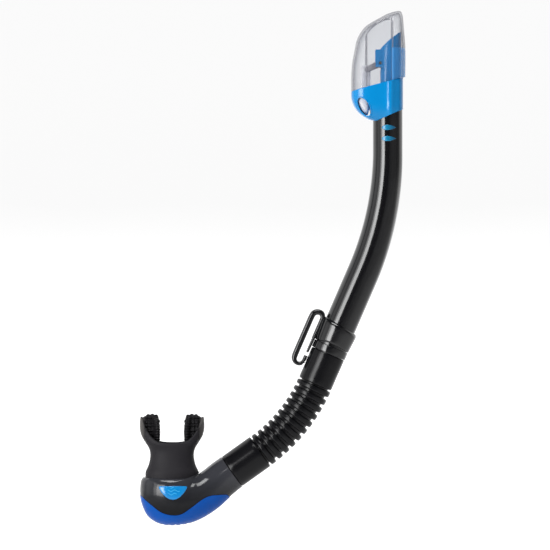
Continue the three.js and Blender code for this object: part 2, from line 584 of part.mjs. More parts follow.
// The guard wraps the chamber's underside; slots let the purged water out.
function purgeGuard() {
  const slots = [-2, -1, 0, 1, 2].map((i) =>
    upright(PURGE_X + i * 5.2, -170, 1.25, 7.5 - Math.abs(i), 25, 4, 8));
  const shell = chamberForm(0).subtract(chamberForm(GUARD_WALL)).intersect(belowGuardLine(0));
  const outlet = upright(PURGE_X, -175, 14.4, 8.6, 175 - 158.6, 3, 24);
  return shell.subtract(unite(...slots)).subtract(outlet.subtract(chamberForm(1)));
}

const badge = () => badgeShape(0).intersect(chamberForm(-0.4)).subtract(chamberForm(0.8));

// The seat's own frame has its origin at the middle of its upper face.
function purgeSeat() {
  const plate = turned([[0, -SEAT_THICKNESS], [SEAT_RADIUS, -SEAT_THICKNESS], [SEAT_RADIUS, 0], [0, 0]], undefined, 24);
  const ports = Array.from({ length: 6 }, (_, i) => {
    const a = (i * Math.PI) / 3;
    return solid(new THREE.CylinderGeometry(2.5, 2.5, 10, 12)
      .rotateX(Math.PI / 2).translate(6.6 * Math.cos(a), 6.6 * Math.sin(a), 0));
  });
  return plate.subtract(unite(...ports, upright(0, -5, 1.5, 1.5, 10, 2, 12)));
}

// A silicone mushroom: a shallow dome under the seat, a stem through it and a bead above.
function purgeValve() {
  const under = -SEAT_THICKNESS - GAP;
  const profile = [
    [0, under - 1.6], [4, under - 1.5], [8, under - 1], [11, under - 0.7], [11, under], [1.2, under],
    [1.2, 1.6], [2.1, 1.9], [1.3, 4], [0, 4.4],
  ];
  return turned(profile, undefined, 20);
}

// ---------------------------------------------------------------- mouthpiece
// A ring of the bell, drawn in by inset, whose sides stand higher than its front and back.
function bellRing([halfWidth, halfDepth, z, rise], inset) {
  return ovalRing(halfWidth - inset, halfDepth - inset, 2.3, 32).map((p) => {
    const lift = rise * Math.abs(p.x / (halfWidth - inset)) ** BELL_POWER;
    return p.setZ(z + lift);
  });
}

function lipBell() {
  const neck = [
    [PLUG.halfWidth, PLUG.halfDepth, PLUG.bottomZ, 0], [PLUG.halfWidth, PLUG.halfDepth, -117, 0],
    [22, 14.5, -111.7, 0], [19.7, 13.3, -106.6, 0], [18.5, 12.7, -101.4, 0], [18.6, 12.6, -96.2, 0],
  ];
  const outside = loft([...neck, ...BELL].map((row) => bellRing(row, 0)));
  const rows = BELL.map(([halfWidth, halfDepth, z, rise]) => [halfWidth, halfDepth, z + BELL_WALL, rise]);
  const above = [27.4, 14.1, -30, 22.6];
  return outside.subtract(loft([...rows, above].map((row) => bellRing(row, BELL_WALL))));
}

function biteTab(side) {
  const at = (x) => side * x;
  const { inner, outer, bottomZ, topZ, halfThickness, lugDepth, lugWidth } = TAB;
  const height = topZ - bottomZ;
  const blade = new THREE.Shape();
  blade.moveTo(at(outer), bottomZ + 10);
  blade.lineTo(at(outer - 3.2), bottomZ + 3.2);
  blade.lineTo(at(outer - 10), bottomZ - 1.5);
  blade.lineTo(at(inner + 0.6), bottomZ);
  blade.lineTo(at(inner), bottomZ + height * 0.55);
  blade.lineTo(at(inner + 2.4), topZ);
  blade.lineTo(at(outer - 3.5), topZ + 0.6);
  blade.quadraticCurveTo(at(outer), topZ, at(outer), topZ - 4);
  const lug = upright(at(inner + lugWidth / 2 + 0.4), bottomZ + 1.6, lugWidth / 2, lugDepth, height - 4, 3, 16);
  return slab(blade, 2 * halfThickness, 0, 5).add(lug);
}

function mouthpiece() {
  const oval = (z, halfWidth, halfDepth) => [z, -halfWidth, halfWidth, halfDepth];
  const bore = levelLoft([
    oval(-140, SPIGOT.halfWidth + GAP, SPIGOT.halfDepth + GAP),
    oval(SPIGOT.topZ + GAP, SPIGOT.halfWidth + GAP, SPIGOT.halfDepth + GAP),
    oval(-111.5, NECK_BORE.halfWidth, NECK_BORE.halfDepth), oval(-80, NECK_BORE.halfWidth, NECK_BORE.halfDepth),
  ], 2.3, 20);
  return unite(lipBell(), biteTab(-1), biteTab(1)).subtract(bore);
}

// ---------------------------------------------------------------- assembly
function part(name, body, material) {
  const mesh = new THREE.Mesh(geometryOf(body), material);
  mesh.name = name;
  return mesh;
}

function groupAt(x, z, turn, ...members) {
  const group = new THREE.Group();
  group.position.set(x, 0, z);
  group.rotation.y = turn;
  group.add(...members);
  return group;
}

const linkPin = part("link_pin", pin(8.4), MATERIALS.steel);
linkPin.position.x = -LEVER.arm;
const valveRocker = groupAt(PIVOT.x, PIVOT.z, -VALVE_SWING,
  part("valve_lever", valveLever(), MATERIALS.grey),
  part("flap_seal", flapSeal(), MATERIALS.clearSilicone),
  linkPin);
const leverPin = part("lever_pin", pin(17), MATERIALS.steel);
leverPin.position.set(PIVOT.x, 0, PIVOT.z);
const seal = part("tube_seal", tubeSeal(), MATERIALS.blackSilicone);
seal.position.set(TOP_X, 0, SEAL_Z);
const dryTop = new THREE.Group();
dryTop.add(
  part("top_cover", topCover(), MATERIALS.clear),
  part("dry_top_base", dryTopBase(), MATERIALS.blue),
  part("valve_tower", valveTower(), MATERIALS.blue),
  part("valve_seat", valveSeat(), MATERIALS.clearSilicone),
  part("valve_float", float(), MATERIALS.white),
  leverPin, seal, valveRocker);

const tube = new THREE.Group();
tube.add(part("main_tube", mainTube(), MATERIALS.blackTube));
tube.add(part("cuff_ring", cuffRing(), MATERIALS.blackTube));
for (const { name, z } of INLAYS) tube.add(part(name, inlay(z), MATERIALS.blueTrim));
const clip = groupAt(0, 0, LEAN, part("strap_clip", strapClip(), MATERIALS.blackTube));

const hose = new THREE.Group();
hose.add(part("flex_hose", flexHose(), MATERIALS.blackSilicone));
hose.add(part("swivel_bush", swivelBush(), MATERIALS.blackTube));

const purge = groupAt(PURGE_X, SEAT_Z, 0,
  part("purge_seat", purgeSeat(), MATERIALS.smoke),
  part("purge_valve", purgeValve(), MATERIALS.clearSilicone));
const mouth = groupAt(CHAMBER_X, 0, 0, part("mouthpiece", mouthpiece(), MATERIALS.mouthSilicone));
const chamber = new THREE.Group();
chamber.add(
  part("elbow_body", elbowBody(), MATERIALS.smoke),
  part("badge", badge(), MATERIALS.blueTrim),
  part("purge_guard", purgeGuard(), MATERIALS.blue),
  purge, mouth);

const snorkel = new THREE.Group();
snorkel.add(dryTop, tube, clip, hose, chamber);

export default snorkel;
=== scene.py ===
"""A dry-top snorkel: the looks of each piece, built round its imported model."""

import json
from math import atan2, cos, exp, pi, radians, sin, sqrt, tau

import bmesh
import bpy
from bpy.props import FloatProperty, FloatVectorProperty, IntProperty, PointerProperty
from mathutils import Matrix, Vector
from mathutils.bvhtree import BVHTree


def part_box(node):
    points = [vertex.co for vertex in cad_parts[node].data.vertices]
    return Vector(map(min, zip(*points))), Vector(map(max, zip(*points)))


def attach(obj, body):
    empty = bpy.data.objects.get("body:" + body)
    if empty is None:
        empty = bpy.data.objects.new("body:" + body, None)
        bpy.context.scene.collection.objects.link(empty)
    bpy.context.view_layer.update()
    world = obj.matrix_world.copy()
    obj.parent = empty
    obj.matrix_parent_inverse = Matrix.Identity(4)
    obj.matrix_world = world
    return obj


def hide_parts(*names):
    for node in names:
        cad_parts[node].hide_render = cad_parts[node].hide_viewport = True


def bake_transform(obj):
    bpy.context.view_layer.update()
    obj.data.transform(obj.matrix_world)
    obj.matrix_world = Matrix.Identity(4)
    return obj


bl_info = {
    "name": "Dry-Top Snorkel",
    "version": (1, 0, 0),
    "blender": (4, 5, 0),
    "location": "View3D > Sidebar > Snorkel",
    "description": "Models a snorkel with a float valve, a corrugated hose and a purge chamber",
    "category": "Object",
}

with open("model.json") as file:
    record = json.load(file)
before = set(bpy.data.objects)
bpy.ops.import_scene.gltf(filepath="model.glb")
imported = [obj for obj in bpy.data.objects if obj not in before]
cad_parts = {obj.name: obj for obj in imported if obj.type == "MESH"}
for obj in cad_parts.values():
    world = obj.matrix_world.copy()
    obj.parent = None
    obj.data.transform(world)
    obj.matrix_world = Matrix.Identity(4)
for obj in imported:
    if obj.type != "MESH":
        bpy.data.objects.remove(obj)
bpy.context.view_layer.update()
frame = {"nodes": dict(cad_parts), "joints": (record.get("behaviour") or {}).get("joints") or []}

MM = 0.001
JOINTS = {joint["name"]: joint for joint in frame["joints"]}


# ------------------------------------------------------------------ the frame's own places
def middle(node):
    """The middle of a CAD node's box, in millimetres."""
    low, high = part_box(node)
    return (low + high) / 2 / MM


def joint_at(name):
    return Vector(JOINTS[name]["pos_m"]) / MM


def joint_along(name):
    return Vector(JOINTS[name]["axis"]).normalized()


CLIP_AT = joint_at("clip_swivel")
CLIP_UP = joint_along("clip_swivel")
LEAN = atan2(CLIP_UP.x, CLIP_UP.z)
TOP_X = middle("tube_seal").x
BEND_AT = joint_at("hose_bend")
SWIVEL_AT = joint_at("mouthpiece_swivel")
SWIVEL_DOWN = joint_along("mouthpiece_swivel")
HOSE_LEAN = atan2(-SWIVEL_DOWN.x, -SWIVEL_DOWN.z)
PIVOT = joint_at("lever_turn")
MOUTH_X = middle("mouthpiece").x
PURGE_AT = Vector((middle("purge_seat").x, 0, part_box("purge_seat")[1].z / MM))
SPIGOT_TOP = -114
STRAIGHT_TOP = 70
ARC_RADIUS = (TOP_X - CLIP_AT.x - STRAIGHT_TOP * sin(LEAN)) / (1 - cos(LEAN))


# ------------------------------------------------------------------ sizes and colours
def length(name, default, text):
    settings = {"name": name, "description": text, "default": default * MM, "min": 0}
    return FloatProperty(subtype="DISTANCE", unit="LENGTH", **settings)


def colour(name, default, text):
    settings = {"name": name, "description": text, "default": default, "min": 0, "max": 1}
    return FloatVectorProperty(subtype="COLOR", size=3, **settings)


class SnorkelSizes(bpy.types.PropertyGroup):
    """The sizes that a maker would change"""

    ridges: IntProperty(name="Ridges", description="Ridges along the hose", default=11, min=3, max=20)
    ridge_radius: length("Ridge radius", 15.35, "Radius over a ridge of the hose")
    groove_radius: length("Groove radius", 12.3, "Radius in a groove of the hose")
    cuff_radius: length("Cuff radius", 15, "Radius of the hose's upper cuff")
    lower_cuff: length("Lower cuff", 30, "Length of the hose's lower cuff")
    cover_wall: length("Cover wall", 1.5, "Thickness of the clear cover")
    guard_proud: length("Guard step", 0.25, "How far the guard stands off the chamber")
    bite_pitch: length("Bite ridges", 2.3, "Spacing of the ridges on the bite tabs")


class SnorkelColours(bpy.types.PropertyGroup):
    """The colours that a maker would change"""

    tube: colour("Tube", (0.0035, 0.0035, 0.0045), "Black plastic of the tube and clip")
    hose: colour("Hose", (0.004, 0.004, 0.005), "Black silicone of the hose")
    mouthpiece: colour("Mouthpiece", (0.016, 0.0148, 0.018), "Dark silicone of the mouthpiece")
    smoke: colour("Chamber", (0.032, 0.033, 0.039), "Smoke-grey plastic of the purge chamber")
    bright: colour("Bright blue", (0.001, 0.235, 0.58), "Plastic of the dry top")
    deep: colour("Deep blue", (0.001, 0.075, 0.38), "Plastic of the purge guard")
    trim: colour("Trim blue", (0.002, 0.13, 0.3), "Inlays")
    clear: colour("Cover", (0.24, 0.24, 0.27), "Tint of the clear cover")


def sizes():
    return bpy.context.scene.snorkel_sizes


def colours():
    return bpy.context.scene.snorkel_colours


# ------------------------------------------------------------------ shader maths
PEEL_SCALE = 900
PEEL_DEPTH = 0.00002


class Sock:
    """A shader socket that takes part in Python arithmetic."""

    def __init__(self, shader, socket):
        self.shader, self.socket = shader, socket

    def maths(self, operation, *others):
        inputs = dict(enumerate((self, *others)))
        return self.shader.add("ShaderNodeMath", inputs, operation=operation)

    def __add__(self, other):
        return self.maths("ADD", other)

    def __sub__(self, other):
        return self.maths("SUBTRACT", other)

    def __rsub__(self, other):
        return self.shader.add("ShaderNodeMath", {0: other, 1: self}, operation="SUBTRACT")

    def __mul__(self, other):
        return self.maths("MULTIPLY", other)

    __radd__ = __add__
    __rmul__ = __mul__

    def __pow__(self, other):
        return self.maths("POWER", other)

    def between(self, low, high):
        """0 below low, 1 above high, smooth between."""
        inputs = {"Value": self, "From Min": low, "From Max": high}
        return self.shader.add("ShaderNodeMapRange", inputs, interpolation_type="SMOOTHSTEP")


class Shader:
    """One material, with a method that adds any node."""

    def __init__(self, name, base, roughness, **constants):
        self.material = bpy.data.materials.new(name)
        self.material.use_nodes = True
        self.tree = self.material.node_tree
        self.body = self.tree.nodes["Principled BSDF"]
        self.output = self.tree.nodes["Material Output"]
        self.set(self.body, {"Base Color": (*base, 1), "Roughness": roughness})
        names = [key.replace("_", " ").title().replace("Ior", "IOR") for key in constants]
        self.set(self.body, dict(zip(names, constants.values())))
        coordinates = self.add("ShaderNodeTexCoord", {}, output="Object")
        self.place = coordinates.socket
        split = self.tree.nodes.new("ShaderNodeSeparateXYZ")
        self.tree.links.new(self.place, split.inputs[0])
        self.x, self.y, self.z = (Sock(self, socket) for socket in split.outputs)

    def set(self, node, inputs):
        for key, value in inputs.items():
            if isinstance(value, Sock):
                self.tree.links.new(value.socket, node.inputs[key])
            elif isinstance(value, bpy.types.NodeSocket):
                self.tree.links.new(value, node.inputs[key])
            else:
                node.inputs[key].default_value = value

    def add(self, kind, inputs, output=0, **settings):
        node = self.tree.nodes.new(kind)
        for key, value in settings.items():
            setattr(node, key, value)
        self.set(node, inputs)
        return Sock(self, node.outputs[output])

    def noise(self, scale, detail=2, roughness=0.5):
        inputs = {"Vector": self.place, "Scale": scale, "Detail": detail, "Roughness": roughness}
        return self.add("ShaderNodeTexNoise", inputs)

    def mix(self, share, one, other):
        def tint(value):
            return value if isinstance(value, Sock) else (*value, 1)

        inputs = {0: share, 6: tint(one), 7: tint(other)}
        return self.add("ShaderNodeMix", inputs, output=2, data_type="RGBA")

    def bump(self, height, distance, over=None):
        inputs = {"Height": height, "Distance": distance, "Strength": 1}
        if over is not None:
            inputs["Normal"] = over
        return self.add("ShaderNodeBump", inputs)

    def wear(self, base, roughness, spread):
        """Handling marks in the gloss, and the faint orange peel of a moulding."""
        marks = self.noise(60, 5, 0.65)
        smears = self.noise(14, 3)
        lighter = tuple(min(1, c * 1.35 + 0.002) for c in base)
        self.set(self.body, {
            "Base Color": self.mix(smears * 0.5, base, lighter),
            "Roughness": roughness + spread * (marks * smears * 2 - 0.4),
            "Normal": self.bump(self.noise(PEEL_SCALE, 1), PEEL_DEPTH),
        })
        return self


def moulded(name, base, roughness, spread=0.12, coat=0.0, **constants):
    return Shader(name, base, roughness, coat_weight=coat, **constants).wear(base, roughness, spread)


def black_plastic():
    return moulded("black tube plastic", tuple(colours().tube), 0.13, 0.08, coat=0.5, coat_roughness=0.08)


def hose_silicone():
    return moulded("hose silicone", tuple(colours().hose), 0.18, 0.12, specular_ior_level=0.26)


def mouth_silicone():
    """Matt silicone; the bite pads are darker and carry fine raised ridges, and the outer wings are painted
    lighter as rim light.
    """
    base = tuple(colours().mouthpiece)
    sheen = {"sheen_weight": 0.03, "sheen_roughness": 0.5}
    shader = Shader("mouthpiece silicone", base, 0.52, specular_ior_level=0.2, **sheen)
    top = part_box("mouthpiece")[1].z
    reach = (shader.x - MOUTH_X * MM).maths("ABSOLUTE")
    pads = (shader.z - (top - 0.025)).between(0, 0.003) * (1 - reach.between(0.0225, 0.024))
    pads = pads * (1 - shader.y.maths("ABSOLUTE").between(0.0085, 0.0095))
    ridges = (shader.z * (tau / sizes().bite_pitch) + shader.noise(40) * 2).maths("SINE")
    cross = (shader.x * (tau / 0.0031)).maths("SINE")
    grain = shader.noise(1400, 2)
    # Painted rim light: the mask named thin marks the outer sides of the wings, off the bite pads, which are
    # painted a lighter grey-brown as if lit from the side.
    thin = reach.between(0.0215, 0.0275) * (shader.z - (top - 0.033)).between(0, 0.008) * (1 - pads)
    relief = pads * (ridges + cross * 0.6) * 0.5
    # flange is the silicone's colour with that painted rim light laid over the outer wings.
    flange = shader.mix(thin * 0.8, base, (0.13, 0.122, 0.115))
    shader.set(shader.body, {
        "Base Color": shader.mix(pads * 0.75, flange, tuple(c * 0.3 for c in base)),
        "Roughness": 0.5 + grain * 0.12 - pads * 0.16,
        "Normal": shader.bump(grain, 0.00003, over=shader.bump(relief, 0.0006)),
    })
    return shader


def smoke_plastic():
    base = tuple(colours().smoke)
    shader = moulded("smoke chamber plastic", base, 0.14, 0.08, coat_roughness=0.06, specular_ior_level=0.15)
    # Painted shade and light: the chamber's colour runs from very dark at its bottom to lighter than its own
    # grey at its top, and the same rise also sets the coat.
    depth = (shader.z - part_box("elbow_body")[0].z).between(0.008, 0.046)
    shade = shader.mix(depth, tuple(c * 0.12 for c in base), tuple(c * 1.3 for c in base))
    shader.set(shader.body, {
        "Base Color": shader.mix(shader.noise(25, 3) * 0.3, shade, tuple(c * 0.8 for c in base)),
        "Coat Weight": 0.05 + depth * 0.7,
    })
    return shader


def bright_blue():
    gloss = {"coat": 0.35, "coat_roughness": 0.05, "specular_ior_level": 0.3}
    return moulded("bright blue plastic", tuple(colours().bright), 0.14, 0.1, **gloss)


def deep_blue():
    gloss = {"coat": 0.1, "coat_roughness": 0.08, "specular_ior_level": 0.1}
    return moulded("deep blue plastic", tuple(colours().deep), 0.2, 0.1, **gloss)


def trim_blue():
    """Metallic-looking inlays, with a painted highlight that makes the end towards the face brighter."""
    base = tuple(colours().trim)
    shader = moulded("trim blue", base, 0.2, 0.12, coat=0.3, coat_roughness=0.1)
    # Painted highlight: the inlay is painted bright blue at its end towards the face, fading to a darker blue
    # along it.
    across = (shader.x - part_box("inlay_upper")[0].x).between(0.001, 0.011)
    tint = shader.mix(across, (0.004, 0.24, 0.46), tuple(c * 0.6 for c in base))
    flakes = shader.noise(2600, 1) * 0.15
    shader.set(shader.body, {"Base Color": shader.mix(flakes, tint, (0.02, 0.34, 0.58))})
    return shader


def badge_blue():
    """The badge carries a plain mark of three raised waves."""
    shader = moulded("badge blue", (0.004, 0.24, 0.62), 0.15, 0.08, coat=0.4, coat_roughness=0.05)
    centre = middle("badge") * MM
    height = shader.z - (centre.z + 0.0012)
    wave = ((shader.x - centre.x) * (tau / 0.0062)).maths("SINE") * 0.0007
    lines = ((height - wave) * (tau / 0.0029)).maths("SINE").between(0.45, 0.8)
    aside = (shader.x - centre.x).maths("ABSOLUTE")
    inside = 1 - (aside + height.maths("ABSOLUTE") * 1.4).between(0.0058, 0.0068)
    mark = lines * inside
    shader.set(shader.body, {
        "Base Color": shader.mix(mark * 0.7, (0.004, 0.24, 0.62), (0.05, 0.5, 0.9)),
        "Normal": shader.bump(mark, 0.0003),
    })
    return shader


def clear_plastic():
    """Polished clear plastic: seen through face on, grey towards its edges, hazy where the vents are."""
    base = tuple(colours().clear)
    shader = Shader("clear cover plastic", base, 0.06, coat_weight=0.4, coat_roughness=0.03)
    facing = shader.add("ShaderNodeLayerWeight", {"Blend": 0.5}, output="Facing")
    crease = shader.add("ShaderNodeAttribute", {}, output="Fac", attribute_name="crease")
    vented = (shader.x - 0.0714).between(0, 0.0006) * (1 - (shader.z - 0.2512).between(-0.0006, 0))
    smears = shader.noise(30, 3)
    through = shader.add("ShaderNodeBsdfTransparent", {"Color": (0.975, 0.98, 0.99, 1)})
    # Painted shade: the crease layer darkens the cover in grey lines along the panel's crease.
    share = 0.06 + facing ** 1.7 * 0.85 + crease * 0.42 + vented * 0.16 + smears * 0.06
    whole = shader.add("ShaderNodeMixShader", {0: share, 1: through, 2: shader.body.outputs[0]})
    shader.set(shader.body, {
        "Base Color": shader.mix(vented, base, (0.12, 0.4, 0.8)),
        "Roughness": 0.04 + shader.noise(50, 4) * 0.06,
        "Normal": shader.bump(shader.noise(500, 1), 0.00001),
    })
    shader.tree.links.new(whole.socket, shader.output.inputs["Surface"])
    return shader


def milky_silicone():
    return moulded("milky silicone", (0.62, 0.66, 0.68), 0.35, 0.1)


def grey_plastic():
    return moulded("grey lever plastic", (0.3, 0.29, 0.31), 0.35, 0.15)


def float_plastic():
    return moulded("float plastic", (0.72, 0.71, 0.74), 0.4, 0.12)


def pin_steel():
    shader = Shader("pin steel", (0.5, 0.51, 0.53), 0.25, metallic=1)
    shader.set(shader.body, {"Roughness": 0.2 + shader.noise(800, 2) * 0.2})
    return shader


# ------------------------------------------------------------------ modelling with rings
SIDEWAYS = Vector((0, 1, 0))
LIP_STEPS = 5
HARD_CORNER = 38


def oval(centre, half_x, half_y, power=2.0, across=Vector((1, 0, 0))):
    """A ring round a centre: an ellipse at power 2, squarer as the power rises."""

    def point(turn):
        c, s = cos(turn), sin(turn)
        u = abs(c) ** (2 / power) * (1 if c > 0 else -1)
        v = abs(s) ** (2 / power) * (1 if s > 0 else -1)
        return centre + across * (half_x * u) + SIDEWAYS * (half_y * v)

    return point


def skin(rings, sides=64):
    """A closed skin through rings, each a function from the turn to a point in millimetres."""
    bm = bmesh.new()
    rows = len(rings) - 1
    bmesh.ops.create_grid(bm, x_segments=rows, y_segments=sides, size=0.5)
    for v in bm.verts:
        v.co = rings[round((v.co.x + 0.5) * rows)](tau * (v.co.y + 0.5)) * MM
    bmesh.ops.remove_doubles(bm, verts=bm.verts, dist=1e-6)
    bmesh.ops.recalc_face_normals(bm, faces=bm.faces)
    return bm


def eased(keys, steps):
    """Rows of numbers on a smooth curve through the keys, steps to each stretch."""
    rows = []
    for i in range(len(keys) - 1):
        before, a, b, after = keys[max(i - 1, 0)], keys[i], keys[i + 1], keys[min(i + 2, len(keys) - 1)]
        for k in range(steps):
            t = k / steps
            rows.append(tuple(
                0.5 * (2 * q + (r - p) * t + (2 * p - 5 * q + 4 * r - s) * t**2
                       + (3 * q - p - 3 * r + s) * t**3)
                for p, q, r, s in zip(before, a, b, after)))
    return rows + [tuple(keys[-1])]


def placed(name, bm):
    """A bmesh as an object in the scene; the bmesh is used up."""
    mesh = bpy.data.meshes.new(name)
    bm.to_mesh(mesh)
    bm.free()
    item = bpy.data.objects.new(name, mesh)
    bpy.context.scene.collection.objects.link(item)
    return item


def finished(name, bm, shader, body, replaced=(), sharp=None):
    """Turns a bmesh into a piece that rides on a body and stands for CAD nodes."""
    for face in bm.faces:
        face.smooth = True
    for edge in bm.edges:
        flat = len(edge.link_faces) != 2
        edge.smooth = sharp is None or flat or edge.calc_face_angle(0) < radians(sharp)
    piece = placed(name, bm)
    piece.data.materials.append(shader.material)
    if body:
        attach(piece, body)
    if replaced:
        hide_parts(*replaced)
    return piece


def carved(bm, *steps):
    """Cuts or joins other bmeshes: each step is an operation and a bmesh, which is used up."""
    work = placed("work", bm)
    tools = []
    for operation, tool in steps:
        cutter = placed("tool", tool)
        tools.append(cutter)
        modifier = work.modifiers.new("cut", "BOOLEAN")
        modifier.operation, modifier.object, modifier.solver = operation, cutter, "EXACT"
    result = evaluated(work)
    for used in (work, *tools):
        bpy.data.objects.remove(used)
    return result


def evaluated(piece):
    bpy.context.view_layer.update()
    shape = piece.evaluated_get(bpy.context.evaluated_depsgraph_get()).to_mesh()
    bm = bmesh.new()
    bm.from_mesh(shape)
    return bm


def melted(bm, voxel, smoothing):
    """One skin over pieces that run into each other, with soft fillets where they meet."""
    work = placed("work", bm)
    remesh = work.modifiers.new("melt", "REMESH")
    remesh.mode, remesh.voxel_size = "VOXEL", voxel * MM
    result = evaluated(work)
    bpy.data.objects.remove(work)
    for _ in range(smoothing):
        bmesh.ops.smooth_vert(
            result, verts=result.verts, factor=0.5, use_axis_x=True, use_axis_y=True, use_axis_z=True)
    return result


def joined(*shapes):
    """Several bmeshes as one."""
    whole = bmesh.new()
    for bm in shapes:
        mesh = bpy.data.meshes.new("joined")
        bm.to_mesh(mesh)
        bm.free()
        whole.from_mesh(mesh)
        bpy.data.meshes.remove(mesh)
    return whole


def prism(outline, depth_low, depth_high):
    """A flat outline of (x, z) in millimetres, drawn out along Y."""
    bm = bmesh.new()
    bmesh.ops.create_circle(bm, cap_ends=True, segments=len(outline), radius=1)
    for v, (x, z) in zip(bm.verts, outline):
        v.co = Vector((x, depth_low, z)) * MM
    grown = bmesh.ops.extrude_face_region(bm, geom=bm.faces[:])["geom"]
    moved = [v for v in grown if isinstance(v, bmesh.types.BMVert)]
    bmesh.ops.translate(bm, verts=moved, vec=(0, (depth_high - depth_low) * MM, 0))
    bmesh.ops.recalc_face_normals(bm, faces=bm.faces)
    return bm


def rounded(bm, edges, offset, segments):
    """Rounds edges by an offset in millimetres."""
    bmesh.ops.bevel(bm, geom=edges, offset=offset * MM, offset_type="OFFSET", segments=segments, profile=0.5,
                    affect="EDGES", material=-1, clamp_overlap=True)


def block(centre, size, bevel=0.0):
    """A box with rounded edges, in millimetres."""
    bm = bmesh.new()
    place = Matrix.Translation(Vector(centre) * MM) @ Matrix.Diagonal((*[s * MM for s in size], 1))
    bmesh.ops.create_cube(bm, size=1, matrix=place)
    if bevel:
        rounded(bm, bm.edges, bevel, 3)
    return bm


def softened(node, bevel=0.25):
    """A merged copy of a CAD node whose hard edges are rounded."""
    bm = bmesh.new()
    bm.from_mesh(frame["nodes"][node].data)
    bmesh.ops.remove_doubles(bm, verts=bm.verts, dist=1e-6)
    bmesh.ops.dissolve_limit(bm, angle_limit=radians(1), verts=bm.verts, edges=bm.edges)
    folds = [e for e in bm.edges if len(e.link_faces) == 2]
    rounded(bm, [e for e in folds if e.calc_face_angle(0) > radians(HARD_CORNER)], bevel, 2)
    return bm


# ------------------------------------------------------------------ the centreline
HOSE_START = -32


def hose_arc():
    """The radius and turn of the hose's arc."""
    end = SWIVEL_AT - SWIVEL_DOWN * (sizes().lower_cuff / MM)
    turn = HOSE_LEAN - LEAN
    return (end - BEND_AT).length / (2 * sin(turn / 4)), turn


def along_line(start, distance, lean):
    """The place at a distance along a leaning line, and its lean."""
    return start + Vector((sin(lean), 0, cos(lean))) * distance, lean


def axis_at(s):
    """The centreline's place and lean at a distance along it; 0 is at the clip."""
    if s > STRAIGHT_TOP:
        turn = min((s - STRAIGHT_TOP) / ARC_RADIUS, LEAN)
        bottom = along_line(CLIP_AT, STRAIGHT_TOP, LEAN)[0]
        across = ARC_RADIUS * (cos(LEAN - turn) - cos(LEAN))
        up = ARC_RADIUS * (sin(LEAN) - sin(LEAN - turn))
        past = s - STRAIGHT_TOP - turn * ARC_RADIUS
        return along_line(bottom + Vector((across, 0, up)), past, LEAN - turn)
    if s < HOSE_START:
        radius, whole = hose_arc()
        turn = min((HOSE_START - s) / radius, whole)
        top = along_line(CLIP_AT, HOSE_START, LEAN)[0]
        across = radius * (cos(LEAN + turn) - cos(LEAN))
        down = radius * (sin(LEAN) - sin(LEAN + turn))
        past = s - HOSE_START + turn * radius
        return along_line(top + Vector((across, 0, down)), past, LEAN + turn)
    return along_line(CLIP_AT, s, LEAN)


def hose_end():
    radius, turn = hose_arc()
    return HOSE_START - radius * turn


ARC_TOP = STRAIGHT_TOP + LEAN * ARC_RADIUS


def height_to_distance(z):
    return ARC_TOP + z - axis_at(ARC_TOP)[0].z


def round_ring(s, radius):
    """A round ring across the centreline. Turn 0 is the side away from the face."""
    centre, lean = axis_at(s)
    return oval(centre, radius, radius, 2, across=Vector((cos(lean), 0, -sin(lean))))


def lip(s0, r0, s1, r1):
    """Stations that round a corner from one (distance, radius) to the other, leaving along the radius."""
    turns = [pi / 2 * k / LIP_STEPS for k in range(LIP_STEPS + 1)]
    return [(s0 + (s1 - s0) * (1 - cos(a)), r0 + (r1 - r0) * sin(a)) for a in turns]


def round_skin(stations, sides=64):
    rings = [round_ring(s, r) for s, r in stations]
    return skin(rings + rings[:1], sides)


# ------------------------------------------------------------------ tube, inlays and retaining ring
TUBE_FOOT_RADIUS = 14.0
TUBE_HEAD_RADIUS = 12.7
TUBE_WALL = 2
SHOULDER_HEIGHT = 198.4
FOOT_SPIGOT = 12.4
FOOT_BORE = 10.7
HEAD_SPIGOT = 10.6
HEAD_BORE = 8.9


def tube_radius(s):
    share = min(max((s - STRAIGHT_TOP) / (ARC_TOP - STRAIGHT_TOP), 0), 1)
    return TUBE_FOOT_RADIUS + share * (TUBE_HEAD_RADIUS - TUBE_FOOT_RADIUS)


def tube_skin():
    shoulder = height_to_distance(SHOULDER_HEIGHT)
    top = height_to_distance(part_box("main_tube")[1].z / MM)
    run = [2 + (shoulder - 2) * k / 60 for k in range(61)]
    outer = [(-28, 11.9), (-27.5, FOOT_SPIGOT), (-3.2, FOOT_SPIGOT)] + lip(-2.9, 12.8, -2.3, 14)
    outer += [(s, tube_radius(s)) for s in run]
    head = lip(shoulder, 12.6, shoulder + 0.4, 12.2)[1:]
    head += [(shoulder + 0.5, HEAD_SPIGOT), (top - 0.4, HEAD_SPIGOT), (top, 10.2), (top, HEAD_BORE)]
    bore = [(s, min(tube_radius(s) - TUBE_WALL, 12)) for s in reversed(run[::3])]
    bore += [(-6, FOOT_BORE), (-28, FOOT_BORE)]
    return round_skin(outer + head + bore)


PLATE_STEPS = 8


def laid_on(target, outline, centre, thickness, crown):
    """A thin crowned plate that follows a surface seen along +Y; outline gives (x, z) at a turn."""
    tree = BVHTree.FromBMesh(target)
    target.free()

    def surface(x, z):
        hit = tree.ray_cast(Vector((x * MM, -0.1, z * MM)), Vector((0, 1, 0)))[0]
        return hit.y / MM

    def ring(share, lift):
        def point(turn):
            x, z = outline(turn)
            x, z = centre[0] + x * share, centre[1] + z * share
            return Vector((x, surface(x, z) - lift, z))

        return point

    shares = [sin(pi / 2 * k / PLATE_STEPS) for k in range(PLATE_STEPS + 1)]
    front = [ring(share, crown * sqrt(max(0, 1 - share**6))) for share in shares]
    back = [ring(share, -thickness) for share in reversed(shares)]
    return skin(front + back, 48)


def leaf(turn):
    return 6.1 * cos(turn), 2.75 * sin(turn) * abs(sin(turn / 2)) ** 0.7


